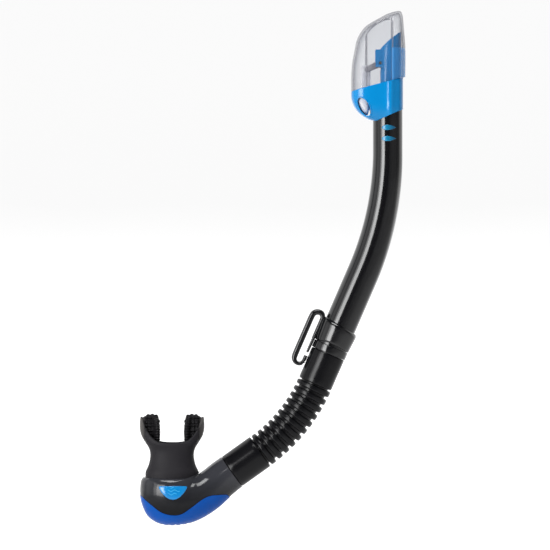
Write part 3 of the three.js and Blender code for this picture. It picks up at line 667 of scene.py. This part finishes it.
class SNORKEL_OT_tube(bpy.types.Operator):
    """Model the main tube, its two inlays and the retaining ring above the hose"""

    bl_idname = "snorkel.tube"
    bl_label = "Tube"

    def execute(self, context):
        plastic = black_plastic()
        finished("tube_shell", tube_skin(), plastic, "tube", ["main_tube"], 50)
        trim = trim_blue()
        for name in ("inlay_upper", "inlay_lower"):
            spot = middle(name)
            plate = laid_on(tube_skin(), leaf, (spot.x - 0.3, spot.z), 0.5, 0.28)
            finished(f"{name}_leaf", plate, trim, "tube", [name], 50)
        ring = lip(-3.4, 14.9, -2.8, 15.5) + lip(3.2, 14.9, 2.5, 15.45)[::-1] + [(3.2, 14.3), (-3.4, 14.3)]
        finished("retaining_ring", round_skin(ring, 96), plastic, "tube", ["cuff_ring"], 50)
        seal = frame["nodes"]["tube_seal"]
        seal.data.materials.clear()
        seal.data.materials.append(hose_silicone().material)
        return {"FINISHED"}


# ------------------------------------------------------------------ strap clip
CLIP_REACH = CLIP_AT.length
BAND_TOP, BAND_SLOPE = 22.6, 2.0
BAND_FOOT, BAND_ARCH = 5.3, 1.8
LOOP_DEPTH = 4.5
LOOP_POWER = 2.8
TOOTH_HEIGHT = 0.22
TOOTH_PITCH = 1.7


def clip_to_world():
    return Matrix.Rotation(LEAN, 4, "Y")


def clip_band():
    """The band round the tube: its foot arches up front and back, its top slopes away from the strap."""
    section = [
        (14.35, 0), (15.1, 0.0), (15.5, 0.02), (15.7, 0.1), (15.95, 0.3), (16.25, 0.55), (16.55, 0.8),
        (16.5, 0.87), (16.1, 0.93), (15.4, 0.98), (14.9, 1), (14.35, 1), (14.35, 0.5), (14.35, 0),
    ]

    def ring(radius, share):
        def point(turn):
            top = BAND_TOP - BAND_SLOPE * cos(turn)
            foot = BAND_FOOT - BAND_ARCH * cos(turn) ** 2
            return Vector((CLIP_REACH + radius * cos(turn), radius * sin(turn), foot + (top - foot) * share))

        return point

    return skin([ring(r, share) for r, share in section], 96)


def clip_loop():
    """The strap's loop as one bar, from its free end by the tube, over the top and round the open foot."""
    keys = [
        (3.2, -9.4, 1.2), (3.25, -7, 1.35), (3.3, -2, 1.45), (3.4, 3, 1.5), (3.8, 8, 2.0),
        (3.9, 12, 2.1), (3.9, 19.5, 2.1), (3.6, 23.0, 2.2), (1.7, 25.5, 2.45), (-1.3, 25.7, 2.55),
        (-4.2, 24.0, 2.6), (-5.3, 20.5, 2.6), (-5.4, 10, 2.6), (-5.4, 0, 2.6), (-5.4, -10, 2.6),
        (-5.2, -17, 2.55), (-4.1, -20.1, 2.2), (-1.6, -21.7, 1.9), (1.1, -21.4, 1.8), (3.0, -19.6, 1.75),
        (3.5, -17, 1.7), (3.5, -13.3, 1.7),
    ]
    path = eased(keys, 16)
    rings = []
    for i, (x, z, half) in enumerate(path):
        ahead, behind = path[min(i + 1, len(path) - 1)], path[max(i - 1, 0)]
        along = Vector((ahead[0] - behind[0], 0, ahead[1] - behind[1])).normalized()
        side = Vector((along.z, 0, -along.x))
        toothed = x > 2.4 and z < 3 and not -16.5 < z < -9.4
        tooth = TOOTH_HEIGHT * (1 - cos(z * tau / TOOTH_PITCH)) if toothed else 0
        shift = side * tooth * (0.5 if i < len(path) / 2 else -0.5)
        place = Vector((x, 0, z)) + shift
        rings.append(oval(place, half - tooth * 0.5, LOOP_DEPTH, LOOP_POWER, across=side))

    def end(k, shift):
        x, z, half = path[k]
        steps = ((0, shift), (0.8, shift), (0.95, shift * 0.6))
        return [
            oval(Vector((x, 0, z + d)), half * share, LOOP_DEPTH * share, LOOP_POWER) for share, d in steps]

    return skin(end(0, -0.45) + rings + end(-1, 0.45)[::-1], 40)


class SNORKEL_OT_clip(bpy.types.Operator):
    """Model the strap clip: its band round the tube and its slotted loop"""

    bl_idname = "snorkel.clip"
    bl_label = "Strap clip"

    def execute(self, context):
        whole = joined(clip_band(), clip_loop())
        bmesh.ops.transform(whole, matrix=clip_to_world(), verts=whole.verts)
        finished("clip_body", whole, black_plastic(), "strap_clip", ["strap_clip"], 60)
        return {"FINISHED"}


# ------------------------------------------------------------------ corrugated hose
RIDGE_STEPS = 24
HOSE_BORE = 11.2
LOWER_CUFF_BORE = 13.6


def hose_stations():
    size = sizes()
    ridge, groove, cuff = (v / MM for v in (size.ridge_radius, size.groove_radius, size.cuff_radius))
    foot = hose_end()
    stations = lip(-3.7, cuff - 0.9, -4.6, cuff)
    stations += [(-4.6 - k * 3.3, cuff + 0.05 * sin(k)) for k in range(1, 8)]
    stations += lip(HOSE_START - 0.1, cuff - 1.2, HOSE_START + 1, cuff)[::-1]
    for k in range(size.ridges * RIDGE_STEPS + 1):
        phase = (k / RIDGE_STEPS) % 1
        swell = max(0, 1 - (abs(phase - 0.5) / 0.37) ** 5) ** 0.45
        s = HOSE_START - 0.3 - (HOSE_START - foot - 0.6) * k / (size.ridges * RIDGE_STEPS)
        stations.append((s, groove + (ridge - groove) * swell))
    end = foot - size.lower_cuff / MM
    stations += lip(foot + 0.1, cuff - 1.0, foot - 0.8, cuff + 0.4)
    stations += [(foot - 1 - k * 3, cuff + 0.45) for k in range(1, 9)]
    stations += lip(end, cuff - 1.1, end + 1.2, cuff + 0.45)[::-1]
    bore = [(end, LOWER_CUFF_BORE), (foot - 2.4, LOWER_CUFF_BORE), (foot - 2, HOSE_BORE)]
    bore += [(foot + (HOSE_START - foot) * k / 10, HOSE_BORE) for k in range(11)]
    bore += [(-28.6, HOSE_BORE), (-28.2, 12.9), (-3.7, 12.9)]
    return stations + bore


class SNORKEL_OT_hose(bpy.types.Operator):
    """Model the corrugated silicone hose with both its cuffs"""

    bl_idname = "snorkel.hose"
    bl_label = "Hose"

    def execute(self, context):
        form = round_skin(hose_stations(), 72)
        hose = finished("hose_body", form, hose_silicone(), None, (), 60)
        start, end = (axis_at(s)[0] * MM for s in (HOSE_START, hose_end()))
        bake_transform(hose)
        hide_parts("flex_hose")
        bush = softened("swivel_bush")
        finished("bush_ring", bush, black_plastic(), "hose_end", ["swivel_bush"], 35)
        return {"FINISHED"}


# ------------------------------------------------------------------ purge chamber
def chamber_keys():
    """Rings across the chamber, from the arm's end to the rim: a ring's two ends, half depth and power."""
    up = Vector((-cos(HOSE_LEAN), 0, sin(HOSE_LEAN)))
    top, bottom = SWIVEL_AT + up * 15.7, SWIVEL_AT - up * 15.7
    return [
        (top.x, top.z, bottom.x, bottom.z, 15.7, 2.0),
        (top.x - 8, top.z - 5.7, bottom.x - 8.6, bottom.z - 7.0, 16.0, 2.0),
        (-88.5, -110.6, -75.5, -142.6, 17.0, 2.0),
        (-91.8, -113.0, -86.5, -150.4, 18.6, 2.05),
        (-93.2, -114.2, -98.5, -156.2, 20.3, 2.1),
        (-93.8, -114.8, -112.5, -159.0, 21.6, 2.15),
        (-93.9, -114.9, -126.5, -158.0, 22.0, 2.15),
        (-93.9, -114.7, -137.4, -151.5, 22.0, 2.15),
        (-93.8, -114.3, -143.0, -140.5, 21.8, 2.15),
        (-93.6, -114.0, -144.6, -130.5, 21.2, 2.15),
        (-93.4, -113.4, -144.3, -123.6, 20.0, 2.2),
        (-93.2, -113.0, -143.4, -119.8, 18.9, 2.25),
        (-93.0, -112.6, -141.8, -117.7, 17.8, 2.25),
    ]


def chamber_ring(row, inset, level):
    """Level 1 lays the ring flat at its outer end's height, all but the end by the arm."""
    ax, az, bx, bz, depth, power = row
    a, b = Vector((ax, 0, az)), Vector((bx, 0, bz))
    half = (a - b).length / 2 - inset
    ring = oval((a + b) / 2, half, depth - inset, power, across=(a - b).normalized())

    def point(turn):
        p = ring(turn)
        flat = bz - 0.6 * sin(turn) ** 2 + (az - bz) * max(0, cos(turn)) ** 8
        return Vector((p.x, p.y, p.z + (flat - p.z) * level))

    return point


def chamber_levels(rows):
    last = len(rows) - 1
    return [max(0, (i / last - 0.72) / 0.28) ** 1.4 for i in range(last + 1)]


def capped(rings):
    """Closes both ends of a run of rings at their middles."""

    def pole(ring):
        centre = sum((ring(tau * k / 8) for k in range(8)), Vector()) / 8
        return lambda turn: centre

    return [pole(rings[0])] + rings + [pole(rings[-1])]


def chamber_form(inset=0.0):
    """The chamber's outside as one closed form, drawn in by inset."""
    rows = eased(chamber_keys(), 8)
    rings = [chamber_ring(row, inset, level) for row, level in zip(rows, chamber_levels(rows))]
    return skin(capped(rings), 72)


GUARD_LINE = [
    (-150, -132.4), (-144.4, -132.9), (-138.5, -137.6), (-132.6, -142.2), (-125.5, -147.2),
    (-117.4, -149.4), (-109, -148.8), (-100, -143.0), (-91.5, -136.6), (-84.5, -133.2), (-77, -132.4),
    (-70.5, -132.4), (-68.2, -133.6), (-66.5, -137),
]


def below_guard_line(drop=0.0):
    edge = [(x, z - drop) for x, z in eased(GUARD_LINE, 5)]
    return prism(edge + [(-66.5 - drop, -175), (-150, -175)], -40, 40)


BADGE_EDGE = [
    (0, 4.9), (6, 4.9), (10.8, 4.8), (12.1, 4.2), (11.9, 2.8), (9.6, -0.8), (6.2, -4.4), (3.0, -6.3),
    (0, -6.8),
    (-3.0, -6.3), (-6.2, -4.4), (-9.6, -0.8), (-11.9, 2.8), (-12.1, 4.2), (-10.8, 4.8), (-6, 4.9), (0, 4.9),
]


def badge_outline(turn):
    """A wide flat-topped shield."""
    at = turn / tau * (len(BADGE_EDGE) - 1)
    i = min(int(at), len(BADGE_EDGE) - 2)
    a, b = BADGE_EDGE[i], BADGE_EDGE[i + 1]
    return tuple(p + (q - p) * (at - i) for p, q in zip(a, b))


def upright(x, half_x, half_y, low, high, power=2.3, sides=64):
    """A solid standing on an oval, in millimetres."""
    return skin(capped([oval(Vector((x, 0, z)), half_x, half_y, power) for z in (low, high)]), sides)


CHAMBER_WALL = 4.4
NECK_POCKET = (23.2, 15.6)
NECK_SPIGOT = (17.6, 10.6)
NECK_BORE = (16, 9)
POCKET_FLOOR = -124.3
ARM_SPIGOT = 11.7
ARM_SPIGOT_BORE = 9.9
ARM_BORE = 10.3
SEAT_RECESS = 12.3
DRAIN = 10.6
GUARD_WALL = 1.0
SLOT_PITCH = 5.2
SLOT_HALF_WIDTH = 1.25


def chamber_shell():
    """The chamber: a pocket and a spigot for the mouthpiece, an arm with a spigot, and a bore through all."""
    cuff_end, foot = hose_end() - sizes().lower_cuff / MM, hose_end()
    ends = (cuff_end - 2, foot - 3.2)
    wall = [(s, ARM_SPIGOT) for s in ends] + [(s, ARM_SPIGOT_BORE) for s in reversed(ends)]
    spigot = round_skin(wall, 48)
    cavity = carved(chamber_form(CHAMBER_WALL), ("INTERSECT", block((-100, 0, -136.5), (140, 60, 19))))
    arm_bore = skin(capped([round_ring(cuff_end - d, ARM_BORE) for d in (45, 20, -0.5)]), 48)
    steps = (
        ("DIFFERENCE", carved(below_guard_line(-0.35), ("DIFFERENCE", chamber_form(1.2)))),
        ("DIFFERENCE", upright(MOUTH_X, *NECK_POCKET, POCKET_FLOOR, -95)),
        ("UNION", upright(MOUTH_X, *NECK_SPIGOT, -126, SPIGOT_TOP)),
        ("UNION", spigot),
        ("DIFFERENCE", cavity),
        ("DIFFERENCE", upright(MOUTH_X, *NECK_BORE, -140, -90)),
        ("DIFFERENCE", arm_bore),
        ("DIFFERENCE", upright(PURGE_AT.x, SEAT_RECESS, SEAT_RECESS, -175, PURGE_AT.z + 0.3, 2)),
        ("DIFFERENCE", upright(PURGE_AT.x, DRAIN, DRAIN, -150, -130, 2)),
    )
    return carved(chamber_form(), *steps)


def guard_shell():
    """The guard: a shell over the chamber's underside with five slots that let the purged water out."""
    slots = [
        upright(PURGE_AT.x + SLOT_PITCH * i, SLOT_HALF_WIDTH, 7.5 - abs(i), -170, -150, 4, 24)
        for i in range(-2, 3)
    ]
    cuts = (("INTERSECT", below_guard_line()), ("DIFFERENCE", chamber_form(GUARD_WALL)))
    under = carved(chamber_form(-sizes().guard_proud / MM), *cuts)
    return carved(under, *(("DIFFERENCE", slot) for slot in slots))


class SNORKEL_OT_chamber(bpy.types.Operator):
    """Model the purge chamber, its guard and badge"""

    bl_idname = "snorkel.chamber"
    bl_label = "Purge chamber"

    def execute(self, context):
        body = "purge_chamber"
        finished("chamber_shell", chamber_shell(), smoke_plastic(), body, ["elbow_body"], 40)
        finished("guard_shell", guard_shell(), deep_blue(), body, ["purge_guard"], 40)
        spot = middle("badge")
        plate = laid_on(chamber_form(), badge_outline, (spot.x, spot.z + 0.9), 0.6, 0.5)
        finished("badge_plate", plate, badge_blue(), body, ["badge"], 50)
        for node, shader in (("purge_seat", smoke_plastic()), ("purge_valve", milky_silicone())):
            part = frame["nodes"][node]
            part.data.materials.clear()
            part.data.materials.append(shader.material)
        return {"FINISHED"}


# ------------------------------------------------------------------ mouthpiece
def bell():
    """The neck and its flared lip flange, which rises towards both cheeks, with the breath's bore."""
    outside = [
        (22.9, 15.3, -124, 0), (22.9, 15.3, -117, 0), (22.7, 15.0, -112.8, 0), (20.4, 13.7, -107.7, 0),
        (19.0, 12.9, -102, 0), (18.8, 12.7, -97, 0), (20.2, 13.0, -93.8, 1.6), (23.6, 13.5, -91.8, 5),
        (26.6, 13.9, -90.4, 9.2), (27.8, 14, -89.5, 15), (27.4, 14.1, -88.9, 22.4),
    ]
    rim = [(26.9, 13.7, -88.2, 22.6), (26.1, 13.1, -88.1, 22.5), (25.6, 12.5, -88.5, 22)]
    inside = [
        (26.0, 12.2, -88.1, 14.4), (24.8, 12.1, -88.7, 8.6), (21.8, 11.7, -90, 4.6), (18.2, 11.2, -91.8, 1.4),
        (14.8, 9.4, -92.8, 0.2), (14, 8.8, -95, 0), (14, 8.8, -112.6, 0),
        (18.1, 11.1, -113.6, 0), (18.1, 11.1, -124, 0),
    ]

    def ring(half_x, half_y, z, rise):
        shape = oval(Vector((MOUTH_X, 0, z)), half_x, half_y, 2.3)
        return lambda turn: shape(turn) + Vector((0, 0, rise * abs(cos(turn)) ** 3))

    rings = [ring(*row) for row in eased(outside, 4) + rim + inside]
    return skin(rings + rings[:1], 96)


def ball(x, y, z, radius):
    bm = bmesh.new()
    place = Matrix.Translation(Vector((MOUTH_X + x, y, z)) * MM)
    bmesh.ops.create_icosphere(bm, subdivisions=2, radius=radius * MM, matrix=place)
    return bm


def bite_tab(side):
    """One bite tab: a plate from the lip flange to a thick inner edge, with knobs that the teeth hold."""
    def column(*keys):
        rings = [oval(Vector((MOUTH_X + side * x, 0, z)), a, b, 3.4) for z, x, a, b in eased(keys, 4)]
        return skin(capped(rings), 32)

    plate = column((-91, 16.2, 3.4, 2.0), (-86, 17.2, 5.4, 2.3), (-79, 18.2, 7.2, 2.4),
                   (-70, 18.2, 7.3, 2.4), (-65.5, 17.8, 6.0, 2.0))
    edge = column((-89, 13.2, 2.0, 5.0), (-82, 12.6, 2.4, 6.2), (-74, 12.8, 2.4, 6.2), (-67, 13.8, 2.0, 4.8))
    knobs = [
        ball(side * x, y * 2.1, z, 1.75)
        for x in (15.6, 18.9, 22.0)
        for z in (-85, -81.2, -77.4, -73.6, -69.8, -66.4)
        for y in (-1, 1)
        if x < 20 or z > -80
    ]
    rim = [ball(side * x, 0, z, 1.9) for x, z in ((13.6, -65.6), (17.0, -64.9), (20.6, -65.2), (23.2, -67))]
    heights = (-85.5, -81.6, -77.6, -73.6, -69.8)
    lumps = [ball(side * 11.9, y, z, 1.7) for z in heights for y in (-3.6, 0, 3.6)]
    return joined(plate, edge, *knobs, *rim, *lumps)


class SNORKEL_OT_mouthpiece(bpy.types.Operator):
    """Model the silicone mouthpiece: neck, lip flange and bite tabs"""

    bl_idname = "snorkel.mouthpiece"
    bl_label = "Mouthpiece"

    def execute(self, context):
        whole = melted(joined(bell(), bite_tab(-1), bite_tab(1)), 0.5, 3)
        silicone = mouth_silicone()
        finished("mouthpiece_body", whole, silicone, "purge_chamber", ["mouthpiece"])
        return {"FINISHED"}


# ------------------------------------------------------------------ dry top
SEAM_LOW, SEAM_RISE = 213.4, 12.2
SEAM_LEFT, SEAM_RUN = 36.9, 46.4


def seam_height(x):
    """The height of the line where the cover meets its base, at a distance across."""
    return SEAM_LOW + SEAM_RISE * ((x - SEAM_LEFT) / SEAM_RUN) ** 0.9 if x > SEAM_LEFT else SEAM_LOW


COVER_KEYS = [
    (0.0, 36.9, 83.6, 15.3), (0.22, 37.1, 83.7, 15.3), (0.38, 38.1, 83.7, 15.3), (0.5, 39.8, 83.5, 15.2),
    (0.613, 41.4, 83.0, 14.9), (0.707, 44.4, 82.5, 14.3), (0.794, 49.2, 82.1, 13.3),
    (0.858, 56.0, 81.8, 11.9), (0.906, 62.0, 81.5, 10.2), (0.949, 67.0, 80.9, 8.2), (0.98, 72.4, 80.2, 5.6),
    (0.995, 76.0, 79.2, 3.2),
]
COVER_TOP = 283.2
CREASE = 2.0


def cover_ring(share, left, right, depth, inset=0.0):
    ring = oval(Vector(((left + right) / 2, 0, 0)), (right - left) / 2 - inset, depth - inset, 3)

    def point(turn):
        p = ring(turn)
        seam = seam_height(p.x)
        z = seam + 0.3 + (COVER_TOP - inset - 0.3 - seam) * share
        return Vector((p.x, p.y * (1 - 0.045 * panel(p.x, z)), z))

    return point


def panel(x, z):
    """1 on the flat panel of the cover's sides, 0 off it, over a narrow crease."""
    arch = 262 + 14.6 * sin(pi / 2 * min(max((x - 50) / 20, 0), 1)) ** 0.75
    inward = min(x - 50, 72.2 - x, arch - z)
    t = min(max(inward / CREASE + 0.5, 0), 1)
    return t * t * (3 - 2 * t)


def cover_tip(inset):
    """The cover's highest point, as a ring of no size."""
    return lambda turn: Vector((77.6, 0, COVER_TOP - inset))


def cover_skin():
    wall = sizes().cover_wall / MM
    rows = eased(COVER_KEYS, 8)
    outer = [cover_ring(*row) for row in rows]
    inner = [cover_ring(*row, inset=wall) for row in rows]
    vents = [block((83, y, 238), (8, 3.4, 20), 0.8) for y in (-4.6, 4.6)]
    form = skin([cover_tip(wall)] + inner[::-1] + outer + [cover_tip(0)], 180)
    bm = carved(form, *(("DIFFERENCE", vent) for vent in vents))
    # The crease layer marks where the cover's material paints dark shade lines along the panel's edge.
    crease = bm.verts.layers.float.new("crease")
    for v in bm.verts:
        edge = panel(v.co.x / MM, v.co.z / MM)
        v[crease] = 4 * edge * (1 - edge)
    return bm


BASE_KEYS = [
    (188.0, 57, 10), (189.0, 53.2, 11), (190.2, 50.6, 12), (192.7, 46.5, 13.2), (195.7, 43.0, 14.2),
    (199.2, 40.3, 14.9), (202.9, 38.4, 15.1), (208, 37.1, 15.1), (212.6, 36.9, 15.1),
]


BASE_RIGHT = 81.6
SLEEVE_AT, SLEEVE_SPREAD, SLEEVE_PROUD = 70.8, 3.2, 0.11
PORT_AT = (48, 200.2)
PORT_HALF = (4.3, 8.8)
PORT_LEAN = radians(30)
TUBE_SOCKET = 12.85
BASE_BORE = 9.4


def base_form():
    """The base's outside: a sleeve round the tube's head, which stands a little proud, and a float lobe."""

    def sleeved(ring):
        def point(turn):
            p = ring(turn)
            bulge = exp(-(((p.x - SLEEVE_AT) / SLEEVE_SPREAD) ** 2))
            return Vector((p.x, p.y * (1 + SLEEVE_PROUD * bulge), p.z))

        return point

    rings = []
    for z, left, depth in eased(BASE_KEYS, 5):
        centre = Vector(((left + BASE_RIGHT) / 2, 0, z))
        rings.append(sleeved(oval(centre, (BASE_RIGHT - left) / 2, depth, 3)))

    def seam(inset, drop):
        ring = sleeved(oval(Vector((59.25, 0, 0)), 22.35 - inset, 15.1 - inset, 3))
        return lambda turn: Vector((ring(turn).x, ring(turn).y, seam_height(ring(turn).x) - drop))

    bm = skin(capped(rings + [seam(0, 0.8), seam(0, 0.4), seam(0.35, 0), seam(1.8, 0)]), 120)
    slope = Vector((-10.75, 0, 24.5)).normalized()
    geometry = bm.verts[:] + bm.edges[:] + bm.faces[:]
    corner = Vector((57.0, 0, 187.6)) * MM
    bmesh.ops.bisect_plane(bm, geom=geometry, dist=1e-7, plane_co=corner, plane_no=slope, clear_inner=True)
    bmesh.ops.holes_fill(bm, edges=[e for e in bm.edges if e.is_boundary])
    return bm


def window_edge(turn):
    """The float's port: an ellipse whose top leans towards the face."""
    u, v = PORT_HALF[0] * cos(turn), PORT_HALF[1] * sin(turn)
    c, s = cos(PORT_LEAN), sin(PORT_LEAN)
    return PORT_AT[0] + u * c - v * s, PORT_AT[1] + u * s + v * c


def window_rim():
    """A thin raised lip round the port on both sides."""
    tree = BVHTree.FromBMesh(base_form())
    rings = []
    for k in range(65):
        x, z = window_edge(tau * k / 64)
        ahead = window_edge(tau * (k + 1) / 64)
        side = Vector((ahead[1] - z, 0, x - ahead[0])).normalized()
        y = tree.ray_cast(Vector((x * MM, -0.1, z * MM)), Vector((0, 1, 0)))[0].y / MM
        rings.append(oval(Vector((x, y, z)) + side * 0.3, 0.6, 0.55, 2, across=side))
    front = skin(rings, 12)
    back = front.copy()
    bmesh.ops.scale(back, vec=(1, -1, 1), verts=back.verts)
    bmesh.ops.recalc_face_normals(back, faces=back.faces)
    return joined(front, back)


def base_skin():
    room = skin(capped([oval(Vector((59.25, 0, z)), 20.2, 12.9, 3) for z in (214, 240)]), 64)
    rows = (
        (193, 48.8, 53.5, 8), (196, 45.4, 54.6, 10.6), (199.5, 42.6, 54.9, 11.6),
        (203.5, 40.4, 54.9, 12.2), (216, 39.2, 54.9, 12.4),
    )
    lobe = [oval(Vector(((a + b) / 2, 0, z)), (b - a) / 2, depth, 3) for z, a, b, depth in rows]
    chamber = skin(capped(lobe), 48)
    socket = skin(capped([oval(Vector((TOP_X, 0, z)), TUBE_SOCKET, TUBE_SOCKET) for z in (180, 198.8)]), 64)
    neck_bore = skin(capped([oval(Vector((TOP_X, 0, z)), BASE_BORE, BASE_BORE) for z in (197, 230)]), 64)
    port = prism([window_edge(tau * k / 64) for k in range(64)], -30, 30)
    body = carved(base_form(), ("DIFFERENCE", room), ("DIFFERENCE", chamber), ("DIFFERENCE", socket),
                  ("DIFFERENCE", neck_bore), ("DIFFERENCE", port))
    return joined(body, window_rim())


PIVOT_EYE = 2.9
LINK_EYE = 2.3
CHEEK_THICKNESS = 2.6


def lever_cheeks():
    """The lever's two side plates, from its pin to the float's link pin."""
    link = middle("link_pin")
    lean = atan2(PIVOT.z - link.z, PIVOT.x - link.x)
    outline = []
    for centre, radius, start in ((PIVOT, PIVOT_EYE, -pi / 2), (link, LINK_EYE, pi / 2)):
        turns = [start + lean + pi * k / 12 for k in range(13)]
        outline += [(centre.x + radius * cos(t), centre.z + radius * sin(t)) for t in turns]
    plates = [prism(outline, low, low + CHEEK_THICKNESS) for low in (-4.6, 2.0)]
    for plate in plates:
        rounded(plate, plate.edges[:], 0.3, 2)
    return plates


class SNORKEL_OT_dry_top(bpy.types.Operator):
    """Model the dry top: clear cover, base, valve tower, lever and float"""

    bl_idname = "snorkel.dry_top"
    bl_label = "Dry top"

    def execute(self, context):
        finished("cover_shell", cover_skin(), clear_plastic(), "tube", ["top_cover"], 60)
        blue = bright_blue()
        finished("base_shell", base_skin(), blue, "tube", ["dry_top_base"], 40)
        tower = softened("valve_tower", 0.7)
        finished("tower_body", tower, blue, "tube", ["valve_tower"], 35)
        grey, milky, steel = grey_plastic(), milky_silicone(), pin_steel()
        lever = joined(softened("valve_lever"), *lever_cheeks())
        finished("lever_body", lever, grey, "valve_lever", ["valve_lever"], 35)
        flap = softened("flap_seal")
        finished("flap_disc", flap, milky, "valve_lever", ["flap_seal"], 35)
        hollow = softened("valve_float", 0.5)
        finished("float_body", hollow, float_plastic(), "valve_float", ["valve_float"], 35)
        finished("seat_ring", softened("valve_seat"), milky, "tube", ["valve_seat"], 35)
        for node in ("lever_pin", "link_pin"):
            part = frame["nodes"][node]
            part.data.materials.clear()
            part.data.materials.append(steel.material)
        return {"FINISHED"}


# ------------------------------------------------------------------ stage
VIEW_CENTRE = Vector((-0.0285, 0, 0.056))
VIEW_WIDTH = 0.473
VIEW_DISTANCE = 3.0
FLOOR, ROOF = -0.42, 6.0
WALL, COVE, COVE_STEPS, ROOM_STEPS = 5.4, 1.0, 10, 96


def softbox(name, place, size, power, spread=1.6, tint=(1, 1, 1)):
    light = bpy.data.lights.new(name, "AREA")
    light.shape, light.size, light.size_y = "RECTANGLE", *size
    light.energy, light.color, light.spread = power, tint, spread
    lamp = bpy.data.objects.new(name, light)
    bpy.context.scene.collection.objects.link(lamp)
    lamp.visible_camera = False
    lamp.location = VIEW_CENTRE + Vector(place)
    lamp.rotation_euler = (VIEW_CENTRE - lamp.location).to_track_quat("-Z", "Y").to_euler()
    return lamp


class SNORKEL_OT_stage(bpy.types.Operator):
    """Set out the floor and backdrop, the studio lights and the camera"""

    bl_idname = "snorkel.stage"
    bl_label = "Stage"

    def execute(self, context):
        sweep = bmesh.new()
        turns = [pi / 2 * k / COVE_STEPS for k in range(COVE_STEPS + 1)]
        cove = [(WALL - COVE * (1 - sin(t)), FLOOR + COVE * (1 - cos(t))) for t in turns]
        profile = [sweep.verts.new((r, 0, z)) for r, z in [(0, FLOOR), (1, FLOOR)] + cove + [(WALL, ROOF)]]
        edges = [sweep.edges.new(pair) for pair in zip(profile, profile[1:])]
        bmesh.ops.spin(
            sweep, geom=profile + edges, axis=(0, 0, 1), cent=(0, 0, 0), angle=tau, steps=ROOM_STEPS,
            use_merge=True)
        bmesh.ops.remove_doubles(sweep, verts=sweep.verts, dist=1e-5)
        bmesh.ops.recalc_face_normals(sweep, faces=sweep.faces)
        bmesh.ops.reverse_faces(sweep, faces=sweep.faces)
        paper = Shader("backdrop paper", (0.85, 0.85, 0.85), 0.9, emission_strength=1.0)
        glow = 0.01 + paper.y.between(-3.5, 0.5) * 0.2 + paper.y.between(0.5, 1.6) * 0.7
        floor = 1 - paper.z.between(FLOOR + 0.1, FLOOR + 0.7)
        paper.set(paper.body, {
            "Base Color": paper.mix(floor - paper.noise(3) * 0.05, (0.06, 0.06, 0.06), (0.8, 0.8, 0.8)),
            "Emission Color": paper.mix(glow, (0, 0, 0), (1, 1, 1)),
        })
        finished("backdrop", sweep, paper, None)
        softbox("strip_box", (-1.1, -1.66, 0.1), (0.73, 1.5), 7.4)
        softbox("feather_box", (-1.5, -1.32, 0.1), (0.44, 1.5), 1.7)
        softbox("side_box", (-1.95, -0.6, 0.25), (1.3, 2.2), 1.5)
        softbox("fill_box", (1.5, -1.6, 0.3), (2.4, 2.2), 0.9)
        softbox("top_box", (-0.2, -1.2, 2.0), (1.6, 0.8), 9)
        world = bpy.data.worlds.new("studio")
        world.use_nodes = True
        world.node_tree.nodes["Background"].inputs["Color"].default_value = (0.92, 0.96, 1, 1)
        world.node_tree.nodes["Background"].inputs["Strength"].default_value = 0.05
        context.scene.world = world
        lens = bpy.data.cameras.new("view")
        lens.sensor_width = 36
        lens.lens = lens.sensor_width * VIEW_DISTANCE / VIEW_WIDTH
        camera = bpy.data.objects.new("view", lens)
        context.scene.collection.objects.link(camera)
        camera.location = VIEW_CENTRE + Vector((0, -VIEW_DISTANCE, 0))
        camera.rotation_euler = (pi / 2, 0, 0)
        context.scene.camera = camera
        context.scene.view_settings.view_transform = "Standard"
        return {"FINISHED"}


class SNORKEL_PT_panel(bpy.types.Panel):
    """The snorkel's sizes, colours and pieces"""

    bl_idname = "SNORKEL_PT_panel"
    bl_label = "Snorkel"
    bl_space_type = "VIEW_3D"
    bl_region_type = "UI"
    bl_category = "Snorkel"

    def draw(self, context):
        for group in (context.scene.snorkel_sizes, context.scene.snorkel_colours):
            for name in group.__annotations__:
                self.layout.prop(group, name)
        for operator in OPERATORS:
            self.layout.operator(operator.bl_idname)


OPERATORS = (
    SNORKEL_OT_stage,
    SNORKEL_OT_tube,
    SNORKEL_OT_clip,
    SNORKEL_OT_hose,
    SNORKEL_OT_chamber,
    SNORKEL_OT_mouthpiece,
    SNORKEL_OT_dry_top,
)
CLASSES = (SnorkelSizes, SnorkelColours, *OPERATORS, SNORKEL_PT_panel)


def register():
    for cls in CLASSES:
        bpy.utils.register_class(cls)
    bpy.types.Scene.snorkel_sizes = PointerProperty(type=SnorkelSizes)
    bpy.types.Scene.snorkel_colours = PointerProperty(type=SnorkelColours)


def unregister():
    del bpy.types.Scene.snorkel_colours
    del bpy.types.Scene.snorkel_sizes
    for cls in reversed(CLASSES):
        bpy.utils.unregister_class(cls)


def main():
    register()
    for operator in OPERATORS:
        group, name = operator.bl_idname.split(".")
        getattr(getattr(bpy.ops, group), name)()


if __name__ == "__main__":
    main()
